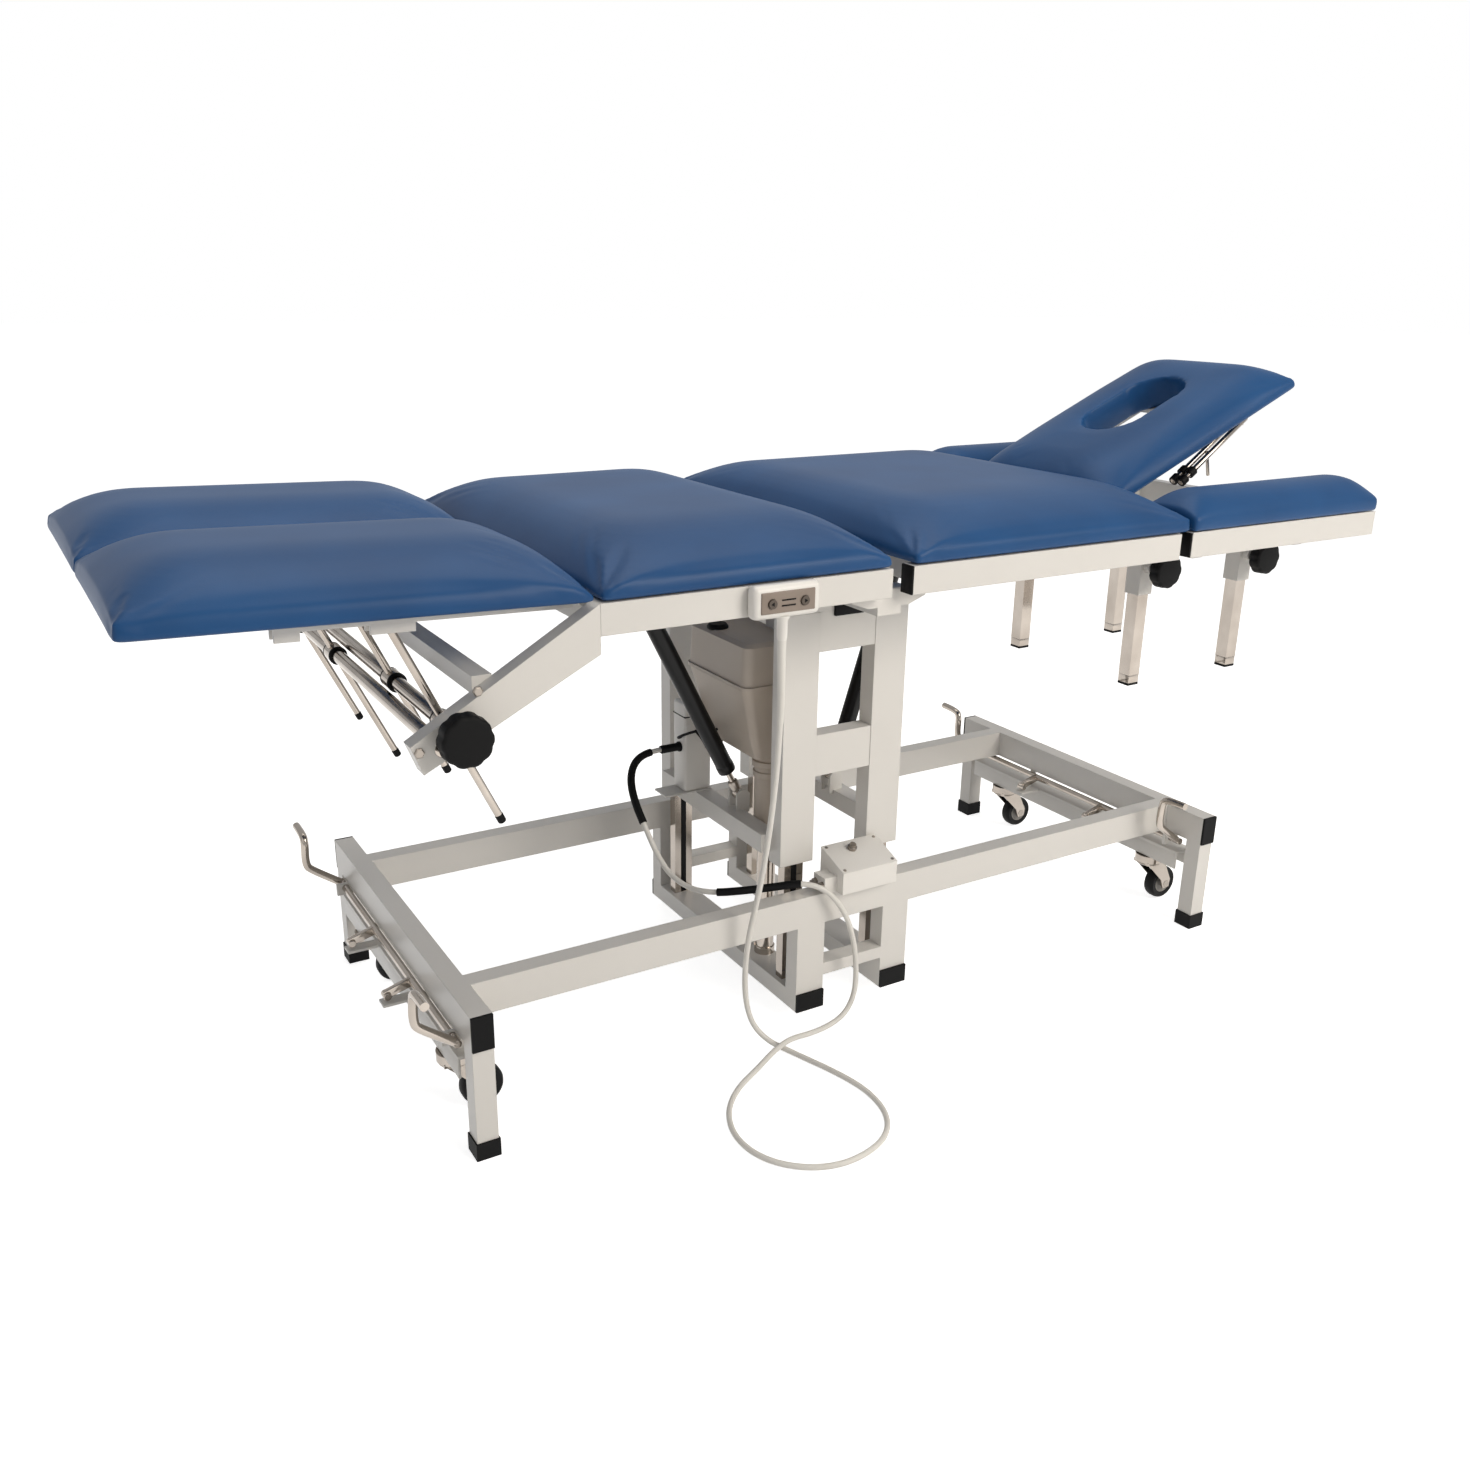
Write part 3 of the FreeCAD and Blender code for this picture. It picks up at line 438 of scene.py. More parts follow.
def holeCutter(spec):
    # a tall bar with round ends, as wide as the face hole
    middle, straight, radius = spec["hole"]
    cutter = bmesh.new()
    bmesh.ops.create_cone(cutter, segments=64, radius1=radius * mm, radius2=radius * mm, depth=0.2,
                          cap_ends=True)
    for vert in cutter.verts:
        vert.co.x += math.copysign(straight / 2 * mm, vert.co.x)
    bmesh.ops.translate(cutter, verts=cutter.verts, vec=fromBase(middle, 0, 770))
    mesh = bpy.data.meshes.new("holeShape")
    cutter.to_mesh(mesh)
    cutter.free()
    piece = bpy.data.objects.new("holeShape", mesh)
    bpy.context.collection.objects.link(piece)
    return piece


def swell(piece, spec):
    # the foam pushes the cover out a little, and the underside stays on its board
    start = [v.co.copy() for v in piece.data.vertices]
    board = piece.vertex_groups.new(name="board")
    boardTop = (cover["under"] + cover["board"]) * mm
    board.add([v.index for v in piece.data.vertices if v.co.z < boardTop], 1.0, "REPLACE")
    cloth = piece.modifiers.new("cover", "CLOTH")
    cloth.settings.quality = 4
    cloth.settings.tension_stiffness = 40
    cloth.settings.compression_stiffness = 40
    cloth.settings.bending_stiffness = 4
    cloth.settings.use_pressure = True
    cloth.settings.uniform_pressure_force = cover["pressure"]
    cloth.settings.vertex_group_mass = "board"
    cloth.settings.effector_weights.gravity = 0
    cloth.collision_settings.use_collision = False
    cloth.point_cache.frame_start = 1
    cloth.point_cache.frame_end = 20
    for step in range(1, cover["steps"] + 1):
        bpy.context.scene.frame_set(step)
    moved = [v.co.copy() for v in evaluated(piece).vertices]
    piece.modifiers.clear()
    most = spec["swell"] * mm
    for vert, before, now in zip(piece.data.vertices, start, moved):
        step = now - before
        vert.co = before + step * min(1, most / max(step.length, 1e-6))
    bpy.context.scene.frame_set(1)


def makeCushion(name, spec):
    # a crowned slab, remeshed evenly so that its cover can swell
    (x0, x1), (y0, y1) = spec["x"], spec["y"]
    under, edge = cover["under"], spec["edge"]
    bm = bmesh.new()
    bmesh.ops.create_cube(bm, size=1)
    bmesh.ops.subdivide_edges(bm, edges=bm.edges[:], cuts=cover["cuts"], use_grid_fill=True)
    centre = Matrix.Translation(fromBase((x0 + x1) / 2, (y0 + y1) / 2, under + edge / 2))
    spread = Matrix.Diagonal(((x1 - x0) * mm, (y1 - y0) * mm, edge * mm, 1))
    bmesh.ops.transform(bm, matrix=centre @ spread, verts=bm.verts)
    reachX, reachY = spec["reach"]
    for vert in bm.verts:
        place = (vert.co - fromBase(0, 0, 0)) / mm
        level = (place.z - under) / edge
        ends = min(place.x - x0 + spec["blunt"][0], x1 - place.x + spec["blunt"][1])
        flanks = min(place.y - y0, y1 - place.y)
        rise = (spec["crown"] - edge) * crownAt(ends, reachX) * crownAt(flanks + 4, reachY)
        for thin, inward in zip(spec["thin"], (place.x - x0, x1 - place.x)):
            rise -= thin * (1 - crownAt(inward, cover["hingeReach"]))
        vert.co.z += rise * level * mm
    mesh = bpy.data.meshes.new(name)
    bm.to_mesh(mesh)
    bm.free()
    piece = bpy.data.objects.new(name, mesh)
    bpy.context.collection.objects.link(piece)
    cutter = None
    if "hole" in spec:
        cutter = holeCutter(spec)
        boolean = piece.modifiers.new("hole", "BOOLEAN")
        boolean.object = cutter
        boolean.operation = "DIFFERENCE"
        boolean.solver = "EXACT"
    remesh = piece.modifiers.new("remesh", "REMESH")
    remesh.mode = "VOXEL"
    remesh.voxel_size = spec["voxel"] * 1 * mm
    soften = piece.modifiers.new("soften", "SMOOTH")
    soften.factor = 0.5
    soften.iterations = 4
    bpy.context.view_layer.update()
    piece.data = evaluated(piece)
    piece.modifiers.clear()
    if cutter:
        bpy.data.objects.remove(cutter)
    swell(piece, spec)
    detail = piece.modifiers.new("detail", "SUBSURF")
    detail.levels = detail.render_levels = 1
    bpy.context.view_layer.update()
    piece.data = evaluated(piece)
    piece.modifiers.clear()
    piece.data.name = name
    if "place" in spec:
        piece.data.transform(spec["place"])
    piece.data.materials.clear()
    piece.data.materials.append(vinyl)
    piece.data.shade_smooth()
    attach(piece, spec["body"])
    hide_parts(spec["node"])


for name, spec in cushions.items():
    makeCushion(name, spec)
    print("made", name)

# Channels and boards under the leg cushions
print("leg frames")
legFrame = {
    "from": -880,
    "to": -532,
    "rows": (110, 310),
    "deep": 12,
    "top": 741.8,
    "lips": ((-12, -8), (8, 12)),
    "stays": {"near": -750, "far": -776},
    "hinges": (110, 290),
}
for leg, sign in (("near", -1), ("far", 1)):
    bm = bmesh.new()
    start, stop = legFrame["from"], legFrame["to"]
    top, shallow = legFrame["top"], legFrame["top"] - legFrame["deep"]
    for row in legFrame["rows"]:
        y = sign * row
        for low, high in legFrame["lips"]:
            addBlock(bm, fromBase(start, y + low, shallow), fromBase(stop, y + high, top), 0.5)
            for x, half in ((-866, 14), (legFrame["stays"][leg], 26)):
                addBlock(bm, fromBase(x - half, y + low, 719),
                         fromBase(x + half, y + high, shallow + 1), 0.5)
        addBlock(bm, fromBase(start, y - 11.5, 738), fromBase(stop, y + 11.5, top - 0.1), 0.5)
    low, high = sorted((sign * 98, sign * 322))
    for x in (start, -580):
        addBlock(bm, fromBase(x, low, 734), fromBase(x + 30, high, top - 0.2), 0.8)
    bmesh.ops.transform(bm, matrix=legRise, verts=bm.verts)
    for row in legFrame["hinges"]:
        y = sign * row
        addBlock(bm, fromBase(-576, y - 10, 733), fromBase(-516, y + 10, 736.8), 0.6)
        addTurned(bm, [(2.6, -10), (5.6, -10), (6, -9.5), (6, 9.5), (5.6, 10), (2.6, 10), (2.6, -10)],
                  fromBase(-514, y, 735), (0, 1, 0), 24)
    frameOfLeg = finishPiece("legFrame_" + leg, bm, framePaint, "leg_" + leg, 40)
    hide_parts("leg_frame_" + leg)

# Castors: tyres and hubs, and the beams that carry them
print("castors")
castor = {
    "at": 675,
    "rows": (("near", -200), ("far", 200)),
    "trail": 36,
    "axle": 34,
    "radius": 31,
    "hub": 19,
    "half": 11,
    "beamHalf": 277,
}
for end, sign in (("foot", -1), ("head", 1)):
    middle = sign * castor["at"]
    for side, y in castor["rows"]:
        body = "castor_wheel_%s_%s" % (end, side)
        centre = fromBase(middle + castor["trail"], y, castor["axle"])
        radius, hub, half = castor["radius"], castor["hub"], castor["half"]
        bm = bmesh.new()
        addTurned(bm, [(hub, -half + 1.5), (27, -half), (29.6, -half + 2), (radius, -half + 6),
                       (radius, half - 6), (29.6, half - 2), (27, half), (hub, half - 1.5),
                       (hub, -half + 1.5)], centre, (0, 1, 0), 48)
        tyre = finishPiece("tyre_%s_%s" % (end, side), bm, tyreRubber, body, 40)
        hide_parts(body)
        bm = bmesh.new()
        addTurned(bm, [(4.2, -half + 0.5), (8, -half + 0.5), (8.5, -half + 3), (16, -half + 4),
                       (hub, -half + 1.6), (hub, half - 1.6), (16, half - 4), (8.5, half - 3),
                       (8, half - 0.5), (4.2, half - 0.5), (4.2, -half + 0.5)], centre, (0, 1, 0), 36)
        finishPiece("hub_%s_%s" % (end, side), bm, hubNylon, body, 35)
        bm = bmesh.new()
        for cheek in (-17.6, 14.6):
            addTurned(bm, [(0, 0), (7, 0), (7.5, 0.6), (7.5, 2.4), (6.8, 3), (0, 3)],
                      fromBase(middle + castor["trail"], y + cheek, castor["axle"]), (0, 1, 0), 6)
        addTurned(bm, [(6.2, 0), (21, 0), (23, 1.5), (23, 3), (20, 5), (6.2, 5), (6.2, 0)],
                  fromBase(middle, y, 81), (0, 0, 1), 32)
        finishPiece("castorNuts_%s_%s" % (end, side), bm, zinc, "castor_fork_%s_%s" % (end, side),
                    40)
    # the beam is a channel with a plate over each castor, two lugs for the pedal and two guides
    bm = bmesh.new()
    reach = castor["beamHalf"]
    addBlock(bm, fromBase(middle - 20, -reach, 129), fromBase(middle + 20, reach, 135), 1.2)
    for low in (-20, 16):
        addBlock(bm, fromBase(middle + low, -reach, 101), fromBase(middle + low + 4, reach, 130), 1.2)
    for side, y in castor["rows"]:
        addBlock(bm, fromBase(middle - 17, y - 24, 101), fromBase(middle + 17, y + 24, 105), 0.8)
    for y in (-90, 90):
        addBlock(bm, fromBase(middle - 66, y - 11, 130), fromBase(middle - 15, y + 11, 134.6), 1.0)
    for y in (-120, 120):
        addTurned(bm, [(0, 0), (6, 0), (6, 66), (5, 68), (0, 68)], fromBase(middle, y, 135),
                  (0, 0, 1), 24)
    beam = finishPiece("castorBeam_" + end, bm, framePaint, "castor_beam_" + end, 40)
    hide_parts("castor_beam_" + end)

# Pedals: one bent steel bar at each side of a shaft, with the two levers that press the beam
print("pedals")
pedal = {
    "behind": 20,
    "height": 157.5,
    "half": 283,
    "fingers": (-90, 90),
    "levers": (("near", -277), ("far", 277)),
    "bar": 6.3,
}
for end, sign in (("foot", -1), ("head", 1)):
    axis, height, half = sign * castor["at"] - pedal["behind"], pedal["height"], pedal["half"]
    bm = bmesh.new()
    addTurned(bm, [(0, 0), (5.4, 0), (5.9, 0.6), (5.9, 2 * half - 0.6), (5.4, 2 * half), (0, 2 * half)],
              fromBase(axis, -half, height), (0, 1, 0), 28)
    for y in pedal["fingers"]:
        tilted = (Matrix.Translation(fromBase(axis - 19, y, 151))
                  @ Matrix.Rotation(math.radians(-17), 4, "Y"))
        addBlock(bm, Vector((-23, -4, -6.5)) * mm, Vector((23, 4, 6.5)) * mm, 1.2, 2, tilted)
        addTurned(bm, [(0, 0), (5, 0), (5.8, 0.8), (5.8, 15.2), (5, 16), (0, 16)],
                  fromBase(axis - 37.6, y - 8, 143.8), (0, 1, 0), 24)
    shaft = finishPiece("pedalShaft_" + end, bm, chrome, "pedal_" + end, 35)
    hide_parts("pedal_" + end)
    for side, y in pedal["levers"]:
        out = math.copysign(1, y)
        path = smoothPath([fromBase(axis, y, height), fromBase(axis - 46, y, 190),
                           fromBase(axis - 55, y, 202), fromBase(axis - 53, y, 240),
                           fromBase(axis - 53, y + out * 9, 251),
                           fromBase(axis - 53, y + out * 50, 251)])
        lever = tubeOn("pedalLever_%s_%s" % (end, side), path, pedal["bar"] * mm, chrome, 24)
        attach(lever, "pedal_" + end)

# Clamp knobs: a round grip with shallow finger lobes and rolled rims
print("knobs")


def addGrip(bm, spec, centre, direction):
    shape = bmesh.new()
    radius = spec["diameter"] / 2 * mm
    bmesh.ops.create_cone(shape, segments=120, radius1=radius, radius2=radius * 0.97,
                          depth=spec["thick"] * mm, cap_ends=True)
    rims = [e for e in shape.edges
            if abs(e.verts[0].co.z - e.verts[1].co.z) < 1e-6 and len(e.link_faces) == 2]
    for vert in shape.verts:
        angle = math.atan2(vert.co.y, vert.co.x)
        pull = 1 - 0.045 * (0.5 - 0.5 * math.cos(spec["lobes"] * angle)) ** 2
        vert.co.x *= pull
        vert.co.y *= pull
    bmesh.ops.bevel(shape, geom=rims, offset=4.5 * mm, segments=5, affect="EDGES", profile=0.5,
                    material=-1)
    addShape(bm, shape, towards(centre, direction))


legKnob = {"diameter": 65, "thick": 24, "lobes": 10, "grip": 382, "neck": 358}
clampShafts = {"near": (-694.4, 608), "far": (-713, 592)}
for leg, sign in (("near", -1), ("far", 1)):
    x, z = clampShafts[leg]
    bm = bmesh.new()
    out = Vector((0, sign, 0))
    addGrip(bm, legKnob, fromBase(x, sign * legKnob["grip"], z), out)
    addTurned(bm, [(6.2, 0), (14, 0), (15, 2), (15, 11), (17, 14), (6.2, 14), (6.2, 0)],
              fromBase(x, sign * legKnob["neck"], z), out, 32)
    grip = finishPiece("legGrip_" + leg, bm, blackNylon, "leg_knob_" + leg, 35)
    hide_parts("leg_knob_" + leg)
armKnob = {"diameter": 61, "thick": 22, "lobes": 9, "grip": 199, "neck": 176, "screw": 156.3,
           "height": 638}
armPosts = {"foot": 629, "head": 884}
for arm, sign in (("near", -1), ("far", 1)):
    for end, x in armPosts.items():
        bm = bmesh.new()
        out = Vector((0, sign, 0))
        addGrip(bm, armKnob, fromBase(x, sign * armKnob["grip"], armKnob["height"]), out)
        addTurned(bm, [(0, 0), (12, 0), (13, 2), (13, 10), (15, 13), (0, 13)],
                  fromBase(x, sign * armKnob["neck"], armKnob["height"]), out, 32)
        addTurned(bm, [(0, 0), (4.9, 0), (4.9, 20), (0, 20)],
                  fromBase(x, sign * armKnob["screw"], armKnob["height"]), out, 20)
        name = "armrest_knob_%s_%s" % (arm, end)
        grip = finishPiece("armGrip_%s_%s" % (arm, end), bm, blackNylon, name, 35)
        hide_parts(name)

# Small black plugs, rod tips and collars, and the steel ends of the posts
print("plugs and tips")
for side, sign in (("near", -1), ("far", 1)):
    low, high = sorted((sign * 354, sign * 331))
    bm = bmesh.new()
    addBlock(bm, fromBase(499.6, low, 701), fromBase(503, high, 739), 0.8)
    finishPiece("armrestPlug_" + side, bm, blackNylon, "armrest_" + side, 40)
bm = bmesh.new()
steel = bmesh.new()
for x in armPosts.values():
    for y in (-143, 143):
        addBlock(bm, fromBase(x - 12.8, y - 12.8, 421), fromBase(x + 12.8, y + 12.8, 426), 1.2)
        addBlock(steel, fromBase(x - 12.5, y - 12.5, 425.5), fromBase(x + 12.5, y + 12.5, 440.5), 0.8)
for low, high in ((-355, -330), (330, 355)):
    addBlock(bm, fromBase(-46, low, 700), fromBase(-42, high, 740), 1.0)
for low, high in ((-130.5, -105.5), (105.5, 130.5)):
    addBlock(bm, fromBase(904, low, 700), fromBase(908, high, 740), 1.0)
plugs = finishPiece("backPlugs", bm, blackNylon, "back", 40)
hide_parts("back_plugs")
finishPiece("postEnds", steel, chrome, "back", 40)
bm = bmesh.new()
for x, z in ((-741, 592), (-668, 655)):
    for sign in (-1, 1):
        addTurned(bm, [(0, 0), (6.5, 0), (6.5, 2), (5, 3.5), (0, 3.5)],
                  fromBase(x, sign * 354.5, z), (0, sign, 0), 6)
finishPiece("armBolts", bm, zinc, "seat", 30)
slope = math.radians(64.8)
stayWay = Vector((-math.cos(slope), 0, math.sin(slope)))
stays = {"near": {"rows": (-310, -110), "below": 152}, "far": {"rows": (110, 310), "below": 185}}
for leg, spec in stays.items():
    x, z = clampShafts[leg]
    tips = bmesh.new()
    rings = bmesh.new()
    for y in spec["rows"]:
        foot = fromBase(x, y, z) - stayWay * spec["below"] * mm
        addTurned(tips, [(0, -2), (4.2, -2), (5.3, -0.8), (5.5, 9), (5.1, 10), (0, 10)],
                  foot, stayWay, 20)
        for side in (-1, 1):
            addTurned(rings, [(9.6, 0), (12.4, 0), (13.2, 0.8), (13.2, 3.2), (12.4, 4), (9.6, 4),
                              (9.6, 0)], fromBase(x, y + side * 15 - 2, z), (0, 1, 0), 28)
    finishPiece("stayTips_" + leg, tips, blackNylon, "stay_rods_" + leg, 40)
    finishPiece("shaftRings_" + leg, rings, blackNylon, "clamp_shaft_" + leg, 40)

# Guide strips on the columns, and a rubber buffer on each bearer
bm = bmesh.new()
for column in (-114, 47.5):
    for y in (-179, 179):
        for side in (-1, 1):
            face = y + side * 9
            addBlock(bm, fromBase(column - 5, face - 0.8, 51),
                     fromBase(column + 5, face + 0.8, 451), 0.4)
finishPiece("guideStrips", bm, blackNylon, "base", 40)
bm = bmesh.new()
for low, high in ((-199, -193.5), (193.5, 199)):
    addBlock(bm, fromBase(-60, low, 638), fromBase(-8, high, 655), 1.0)
finishPiece("buffers", bm, capRubber, "lift", 40)

# Handset: a rounded white shell, a raised panel, two keys and plain marks
print("handset")
handset = {
    "keys": {"button_up": (-284, 1), "button_down": (-235, -1)},
    "height": 719,
    "wellRadius": 6.6,
    "wellFront": -382,
    "wellDeep": 10,
}


def sinkWells(bm):
    # cuts two round wells, that the keys sink into, in a block that nothing else has joined yet
    radius, deep = handset["wellRadius"], handset["wellDeep"]
    wells = bmesh.new()
    for x, quarter in handset["keys"].values():
        addTurned(wells, [(0, 0), (radius, 0), (radius, deep), (0, deep)],
                  fromBase(x, handset["wellFront"], handset["height"]), (0, 1, 0), 32)
    holders = []
    for name, shape in (("block", bm), ("wells", wells)):
        mesh = bpy.data.meshes.new(name)
        shape.to_mesh(mesh)
        holders.append(bpy.data.objects.new(name, mesh))
        bpy.context.collection.objects.link(holders[-1])
    wells.free()
    block, tool = holders
    boolean = block.modifiers.new("wells", "BOOLEAN")
    boolean.object = tool
    boolean.operation = "DIFFERENCE"
    boolean.solver = "EXACT"
    bpy.context.view_layer.update()
    bm.clear()
    bm.from_mesh(evaluated(block))
    for holder in holders:
        bpy.data.objects.remove(holder)


bm = bmesh.new()
addBlock(bm, fromBase(-310, -376, 698), fromBase(-209, -355.2, 742), 8, 5)
sinkWells(bm)
addTurned(bm, [(4.4, 0), (5.2, 0), (6.8, 6), (7.2, 30), (9.5, 33), (9.5, 36), (4.4, 36), (4.4, 0)],
          fromBase(-262, -367, 664.5), (0, 0, 1), 28)
shell = finishPiece("handsetShell", bm, whiteAbs, "seat", 50)
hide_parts("handset_holder")
bm = bmesh.new()
addBlock(bm, fromBase(-300, -377.6, 706), fromBase(-219, -374, 734), 1.2, 3)
sinkWells(bm)
panel = finishPiece("handsetPanel", bm, panelAbs, "seat", 40)
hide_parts("handset")
bm = bmesh.new()
for row in (-1, 1):
    z = handset["height"] + row * 3.6
    addBlock(bm, fromBase(-270, -378.2, z - 1), fromBase(-249, -377.4, z + 1), 0.3)
finishPiece("handsetBars", bm, blackNylon, "seat", 30)
for body, (x, quarter) in handset["keys"].items():
    bm = bmesh.new()
    mark = bmesh.new()
    bmesh.ops.create_cone(mark, segments=3, radius1=3.4 * mm, radius2=3 * mm, depth=0.5 * mm,
                          cap_ends=True)
    upright = (Matrix.Rotation(math.radians(90), 4, "X")
               @ Matrix.Rotation(math.radians(90 * quarter), 4, "Z"))
    addShape(bm, mark, Matrix.Translation(fromBase(x, -380.1, handset["height"])) @ upright)
    finishPiece("keyMark_" + body, bm, blackNylon, body, 30)

# Drive: housing cap and screws, control box, strut ends, and the short wires to the box
print("drive details")
bm = bmesh.new()
addTurned(bm, [(0, 0), (15, 0), (17, 1.5), (17, 5), (14, 9), (0, 9)], fromBase(-148, -5, 586),
          (0, 0, 1), 32)
for y in (-118, 51):
    for x in (-158, -72):
        addTurned(bm, [(0, 0), (3, 0), (3.2, 0.8), (2.6, 1.6), (0, 1.6)], fromBase(x, y, 521.5),
                  (0, 0, 1), 12)
finishPiece("housingCap", bm, blackNylon, "lift", 40)
bm = bmesh.new()
for low, radius in ((380, 26), (362, 24.5), (256, 24)):
    addTurned(bm, [(21.8, 0), (radius - 1, 0), (radius, 1), (radius, 9), (radius - 1, 10),
                   (21.8, 10), (21.8, 0)], fromBase(-104, -92, low), (0, 0, 1), 40)
finishPiece("tubeCollars", bm, housingAbs, "lift", 40)
bm = bmesh.new()
addBlock(bm, fromBase(-180, 44, 299), fromBase(-130, 84, 452), 5, 4)
controlBox = finishPiece("controlBox", bm, whiteAbs, "lift", 40)
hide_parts("control_box")
bm = bmesh.new()
addBlock(bm, fromBase(-180.4, 43.6, 428), fromBase(-129.6, 84.4, 430), 0.3)
addTurned(bm, [(0, 0), (6.3, 0), (6.8, 1), (6.8, 30), (8.5, 33), (8.5, 38), (0, 38)],
          fromBase(-216, 61, 375), (1, 0, 0), 24)
finishPiece("controlBoxTrim", bm, blackNylon, "lift", 40)
struts = {"across": -45, "foot": 318, "head": 712, "ends": {"seat": (-129, -330), "back": (52, 176)}}
for part, (foot, head) in struts["ends"].items():
    start = fromBase(foot, struts["across"], struts["foot"])
    end = fromBase(head, struts["across"], struts["head"])
    way = (end - start).normalized()
    bm = bmesh.new()
    addTurned(bm, [(5.2, 0), (8, 0), (9, 1), (9, 12), (7.5, 16), (5.2, 16), (5.2, 0)],
              start + way * 12 * mm, way, 24)
    finishPiece("strutNut_" + part, bm, zinc, "strut_rod_" + part, 35)
    bm = bmesh.new()
    addTurned(bm, [(5.3, 0), (10, 0), (14.4, 3), (14.6, 6), (14.6, 14), (14, 15), (5.3, 15),
                   (5.3, 0)], start + way * 49 * mm, way, 32)
    addTurned(bm, [(6.2, 0), (11, 0), (13.8, -4), (6.2, -4), (6.2, 0)], end - way * 36 * mm,
              way, 28)
    finishPiece("strutCap_" + part, bm, strutPaint, "strut_cylinder_" + part, 35)
wires = {
    "upperWire": [(-179, 58, 392), (-200, 40, 398), (-196, 8, 416), (-168, -8, 424),
                  (-146, -2, 418)],
    "lowerWire": [(-160, 45, 404), (-160, 22, 398), (-158, 4, 380), (-146, -4, 376),
                  (-134, -2, 396), (-138, 8, 414)],
}
for name, points in wires.items():
    path = smoothPath([fromBase(*p) for p in points])
    wire = tubeOn(name, path, 2.2 * mm, capRubber, 12)
    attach(wire, "lift")

# Junction box: lid with its screws and socket, and two cable glands
print("junction box")
bm = bmesh.new()
lidTurn = (Matrix.Translation(fromBase(-21, -262, 250))
           @ Matrix.Rotation(math.atan2(22, 62), 4, "X"))
lidUp = (0, -0.33, 0.94)
addBlock(bm, Vector((-51.6, -0.8, -1.2)) * mm, Vector((51.6, 66, 1.4)) * mm, 0.8, 2, lidTurn)
finishPiece("boxLid", bm, whiteAbs, "base", 40)
bm = bmesh.new()
for x, y in ((-45, 6), (45, 6), (-45, 60), (45, 60)):
    addTurned(bm, [(0, 0), (2.6, 0), (2.8, 0.4), (2.2, 1), (0, 1)],
              lidTurn @ (Vector((x, y, 1.3)) * mm), lidUp, 16)
addTurned(bm, [(0, 0), (7, 0), (7.4, 1), (7.4, 5), (5, 6), (5, 10), (0, 10)],
          lidTurn @ (Vector((-6, 46, 1.3)) * mm), lidUp, 24)
for y in (-240, -222):
    addTurned(bm, [(0, 0), (6, 0), (6.4, 0.6), (6.4, 5), (4.4, 6), (4.4, 10), (0, 10)],
              fromBase(-94.5, y, 228), (-1, 0, 0), 6)
finishPiece("boxFittings", bm, zinc, "base", 35)

# Under the head cushion: a steel prop of two tubes with its clamp and stay
print("head prop")
prop = {
    "rows": (-140, -157),
    "top": (866, 738),
    "foot": (690, 701),
    "clampsAt": (0, 22),
    "pins": ((716, 706.5), (852, 735)),
    "pinFrom": -161,
    "stayFrom": (772, -148, 719),
    "stayWay": (0.25, 0, -1),
}
bm = bmesh.new()
clamp = bmesh.new()
for y in prop["rows"]:
    start = headRise @ fromBase(prop["foot"][0], y, prop["foot"][1])
    way = headRise @ fromBase(prop["top"][0], y, prop["top"][1]) - start
    long = way.length / mm
    addTurned(bm, [(0, 0), (4.5, 0), (5, 0.8), (5, long - 0.8), (4.5, long), (0, long)],
              start, way, 20)
    for reach in prop["clampsAt"]:
        addTurned(clamp, [(5.1, 0), (7.6, 0), (8.4, 1), (8.4, 13), (7.6, 14), (5.1, 14), (5.1, 0)],
                  start + way.normalized() * reach * mm, way, 24)
for x, z in prop["pins"]:
    addTurned(bm, [(0, 0), (4, 0), (4, 24), (0, 24)], headRise @ fromBase(x, prop["pinFrom"], z),
              (0, 1, 0), 16)
addTurned(bm, [(0, 0), (2.6, 0), (3, 0.5), (3, 43), (2.4, 44), (0, 44)],
          headRise @ fromBase(*prop["stayFrom"]), prop["stayWay"], 16)
finishPiece("headProp", bm, chrome, "head", 35)
finishPiece("headClamp", clamp, blackNylon, "head", 35)

# Plain pale floor, world and lamps
print("studio")
bm = bmesh.new()
bmesh.ops.create_grid(bm, x_segments=1, y_segments=1, size=30)
floorMesh = bpy.data.meshes.new("floor")
bm.to_mesh(floorMesh)
bm.free()
floor = bpy.data.objects.new("floor", floorMesh)
bpy.context.collection.objects.link(floor)
paleFloor, shader, place = newMaterial("paleFloor")
shader.inputs["Base Color"].default_value = linear("#EFEFEF")
shader.inputs["Roughness"].default_value = 0.9
shader.inputs["Specular IOR Level"].default_value = 0.1
ray = addNode(paleFloor, "ShaderNodeLightPath").outputs
seen = addNode(paleFloor, "ShaderNodeMath", {0: ray["Is Camera Ray"], 1: ray["Is Glossy Ray"]},
               operation="MAXIMUM")
paper = addNode(paleFloor, "ShaderNodeEmission", {"Color": linear("#FFFFFF")})
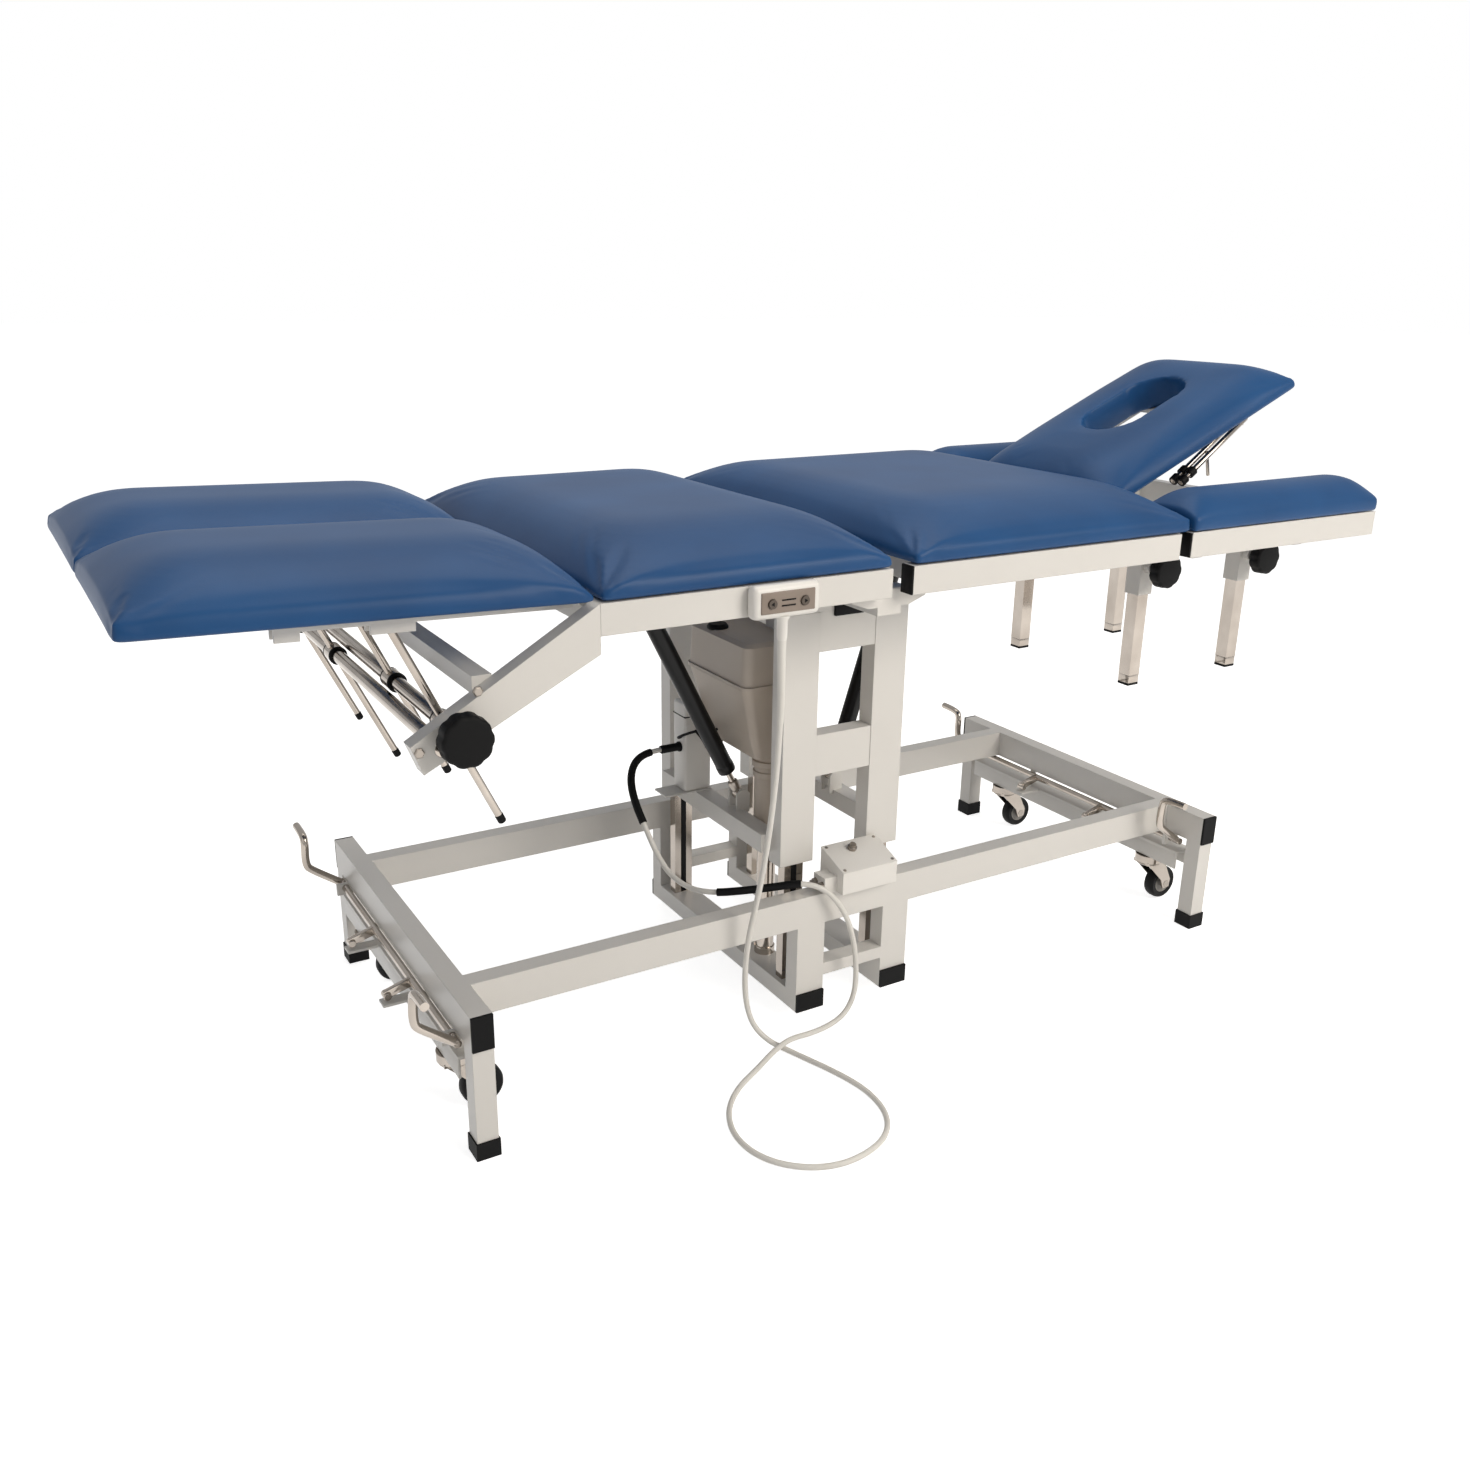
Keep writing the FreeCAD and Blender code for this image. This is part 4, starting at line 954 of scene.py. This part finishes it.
dim = addNode(paleFloor, "ShaderNodeMath", {0: seen.outputs[0], 1: 0.78}, operation="MULTIPLY")
link(paleFloor, dim.outputs[0], paper.inputs["Strength"])
both = addNode(paleFloor, "ShaderNodeAddShader", {0: shader.outputs[0], 1: paper.outputs[0]})
surface = paleFloor.node_tree.nodes["Material Output"].inputs["Surface"]
link(paleFloor, both.outputs[0], surface)
floorMesh.materials.append(paleFloor)

world = bpy.data.worlds.new("studio")
bpy.context.scene.world = world
world.use_nodes = True
sky = world.node_tree.nodes["Background"]
sky.inputs["Color"].default_value = linear("#FFFFFF")
ray = addNode(world, "ShaderNodeLightPath").outputs
# the camera sees plain white, mirrors a dimmer one, and the object is lit by less again
seen = addNode(world, "ShaderNodeMath", {0: ray["Is Camera Ray"], 1: ray["Is Transmission Ray"]},
               operation="MAXIMUM")
shine = addNode(world, "ShaderNodeMath", {0: ray["Is Glossy Ray"], 1: 0.6}, operation="MULTIPLY")
white = addNode(world, "ShaderNodeMath", {0: seen.outputs[0], 1: shine.outputs[0]},
                operation="MAXIMUM")
level = addNode(world, "ShaderNodeMath", {0: white.outputs[0], 1: 0.28}, operation="MAXIMUM")
link(world, level.outputs[0], sky.inputs["Strength"])

lamps = {
    "keyLamp": {"place": (1.6, -3.6, 2.6), "aim": (0, 0, 0.5), "size": 2.2, "power": 108},
    "fillLamp": {"place": (-3.4, -2.2, 1.8), "aim": (0, 0, 0.5), "size": 2.4, "power": 9},
    "topLamp": {"place": (0.2, 0.4, 3.8), "aim": (0, 0, 0.7), "size": 2.8, "power": 46},
}
for name, spec in lamps.items():
    lamp = bpy.data.lights.new(name, "AREA")
    lamp.shape = "SQUARE"
    lamp.size = spec["size"]
    lamp.energy = spec["power"]
    lamp.color = linear("#FFF8EE")[:3]
    holder = bpy.data.objects.new(name, lamp)
    bpy.context.collection.objects.link(holder)
    holder.location = spec["place"]
    aim = Vector(spec["aim"]) - Vector(spec["place"])
    holder.rotation_euler = aim.to_track_quat("-Z", "Y").to_euler()

bpy.context.scene.view_settings.view_transform = "Standard"

print("done")
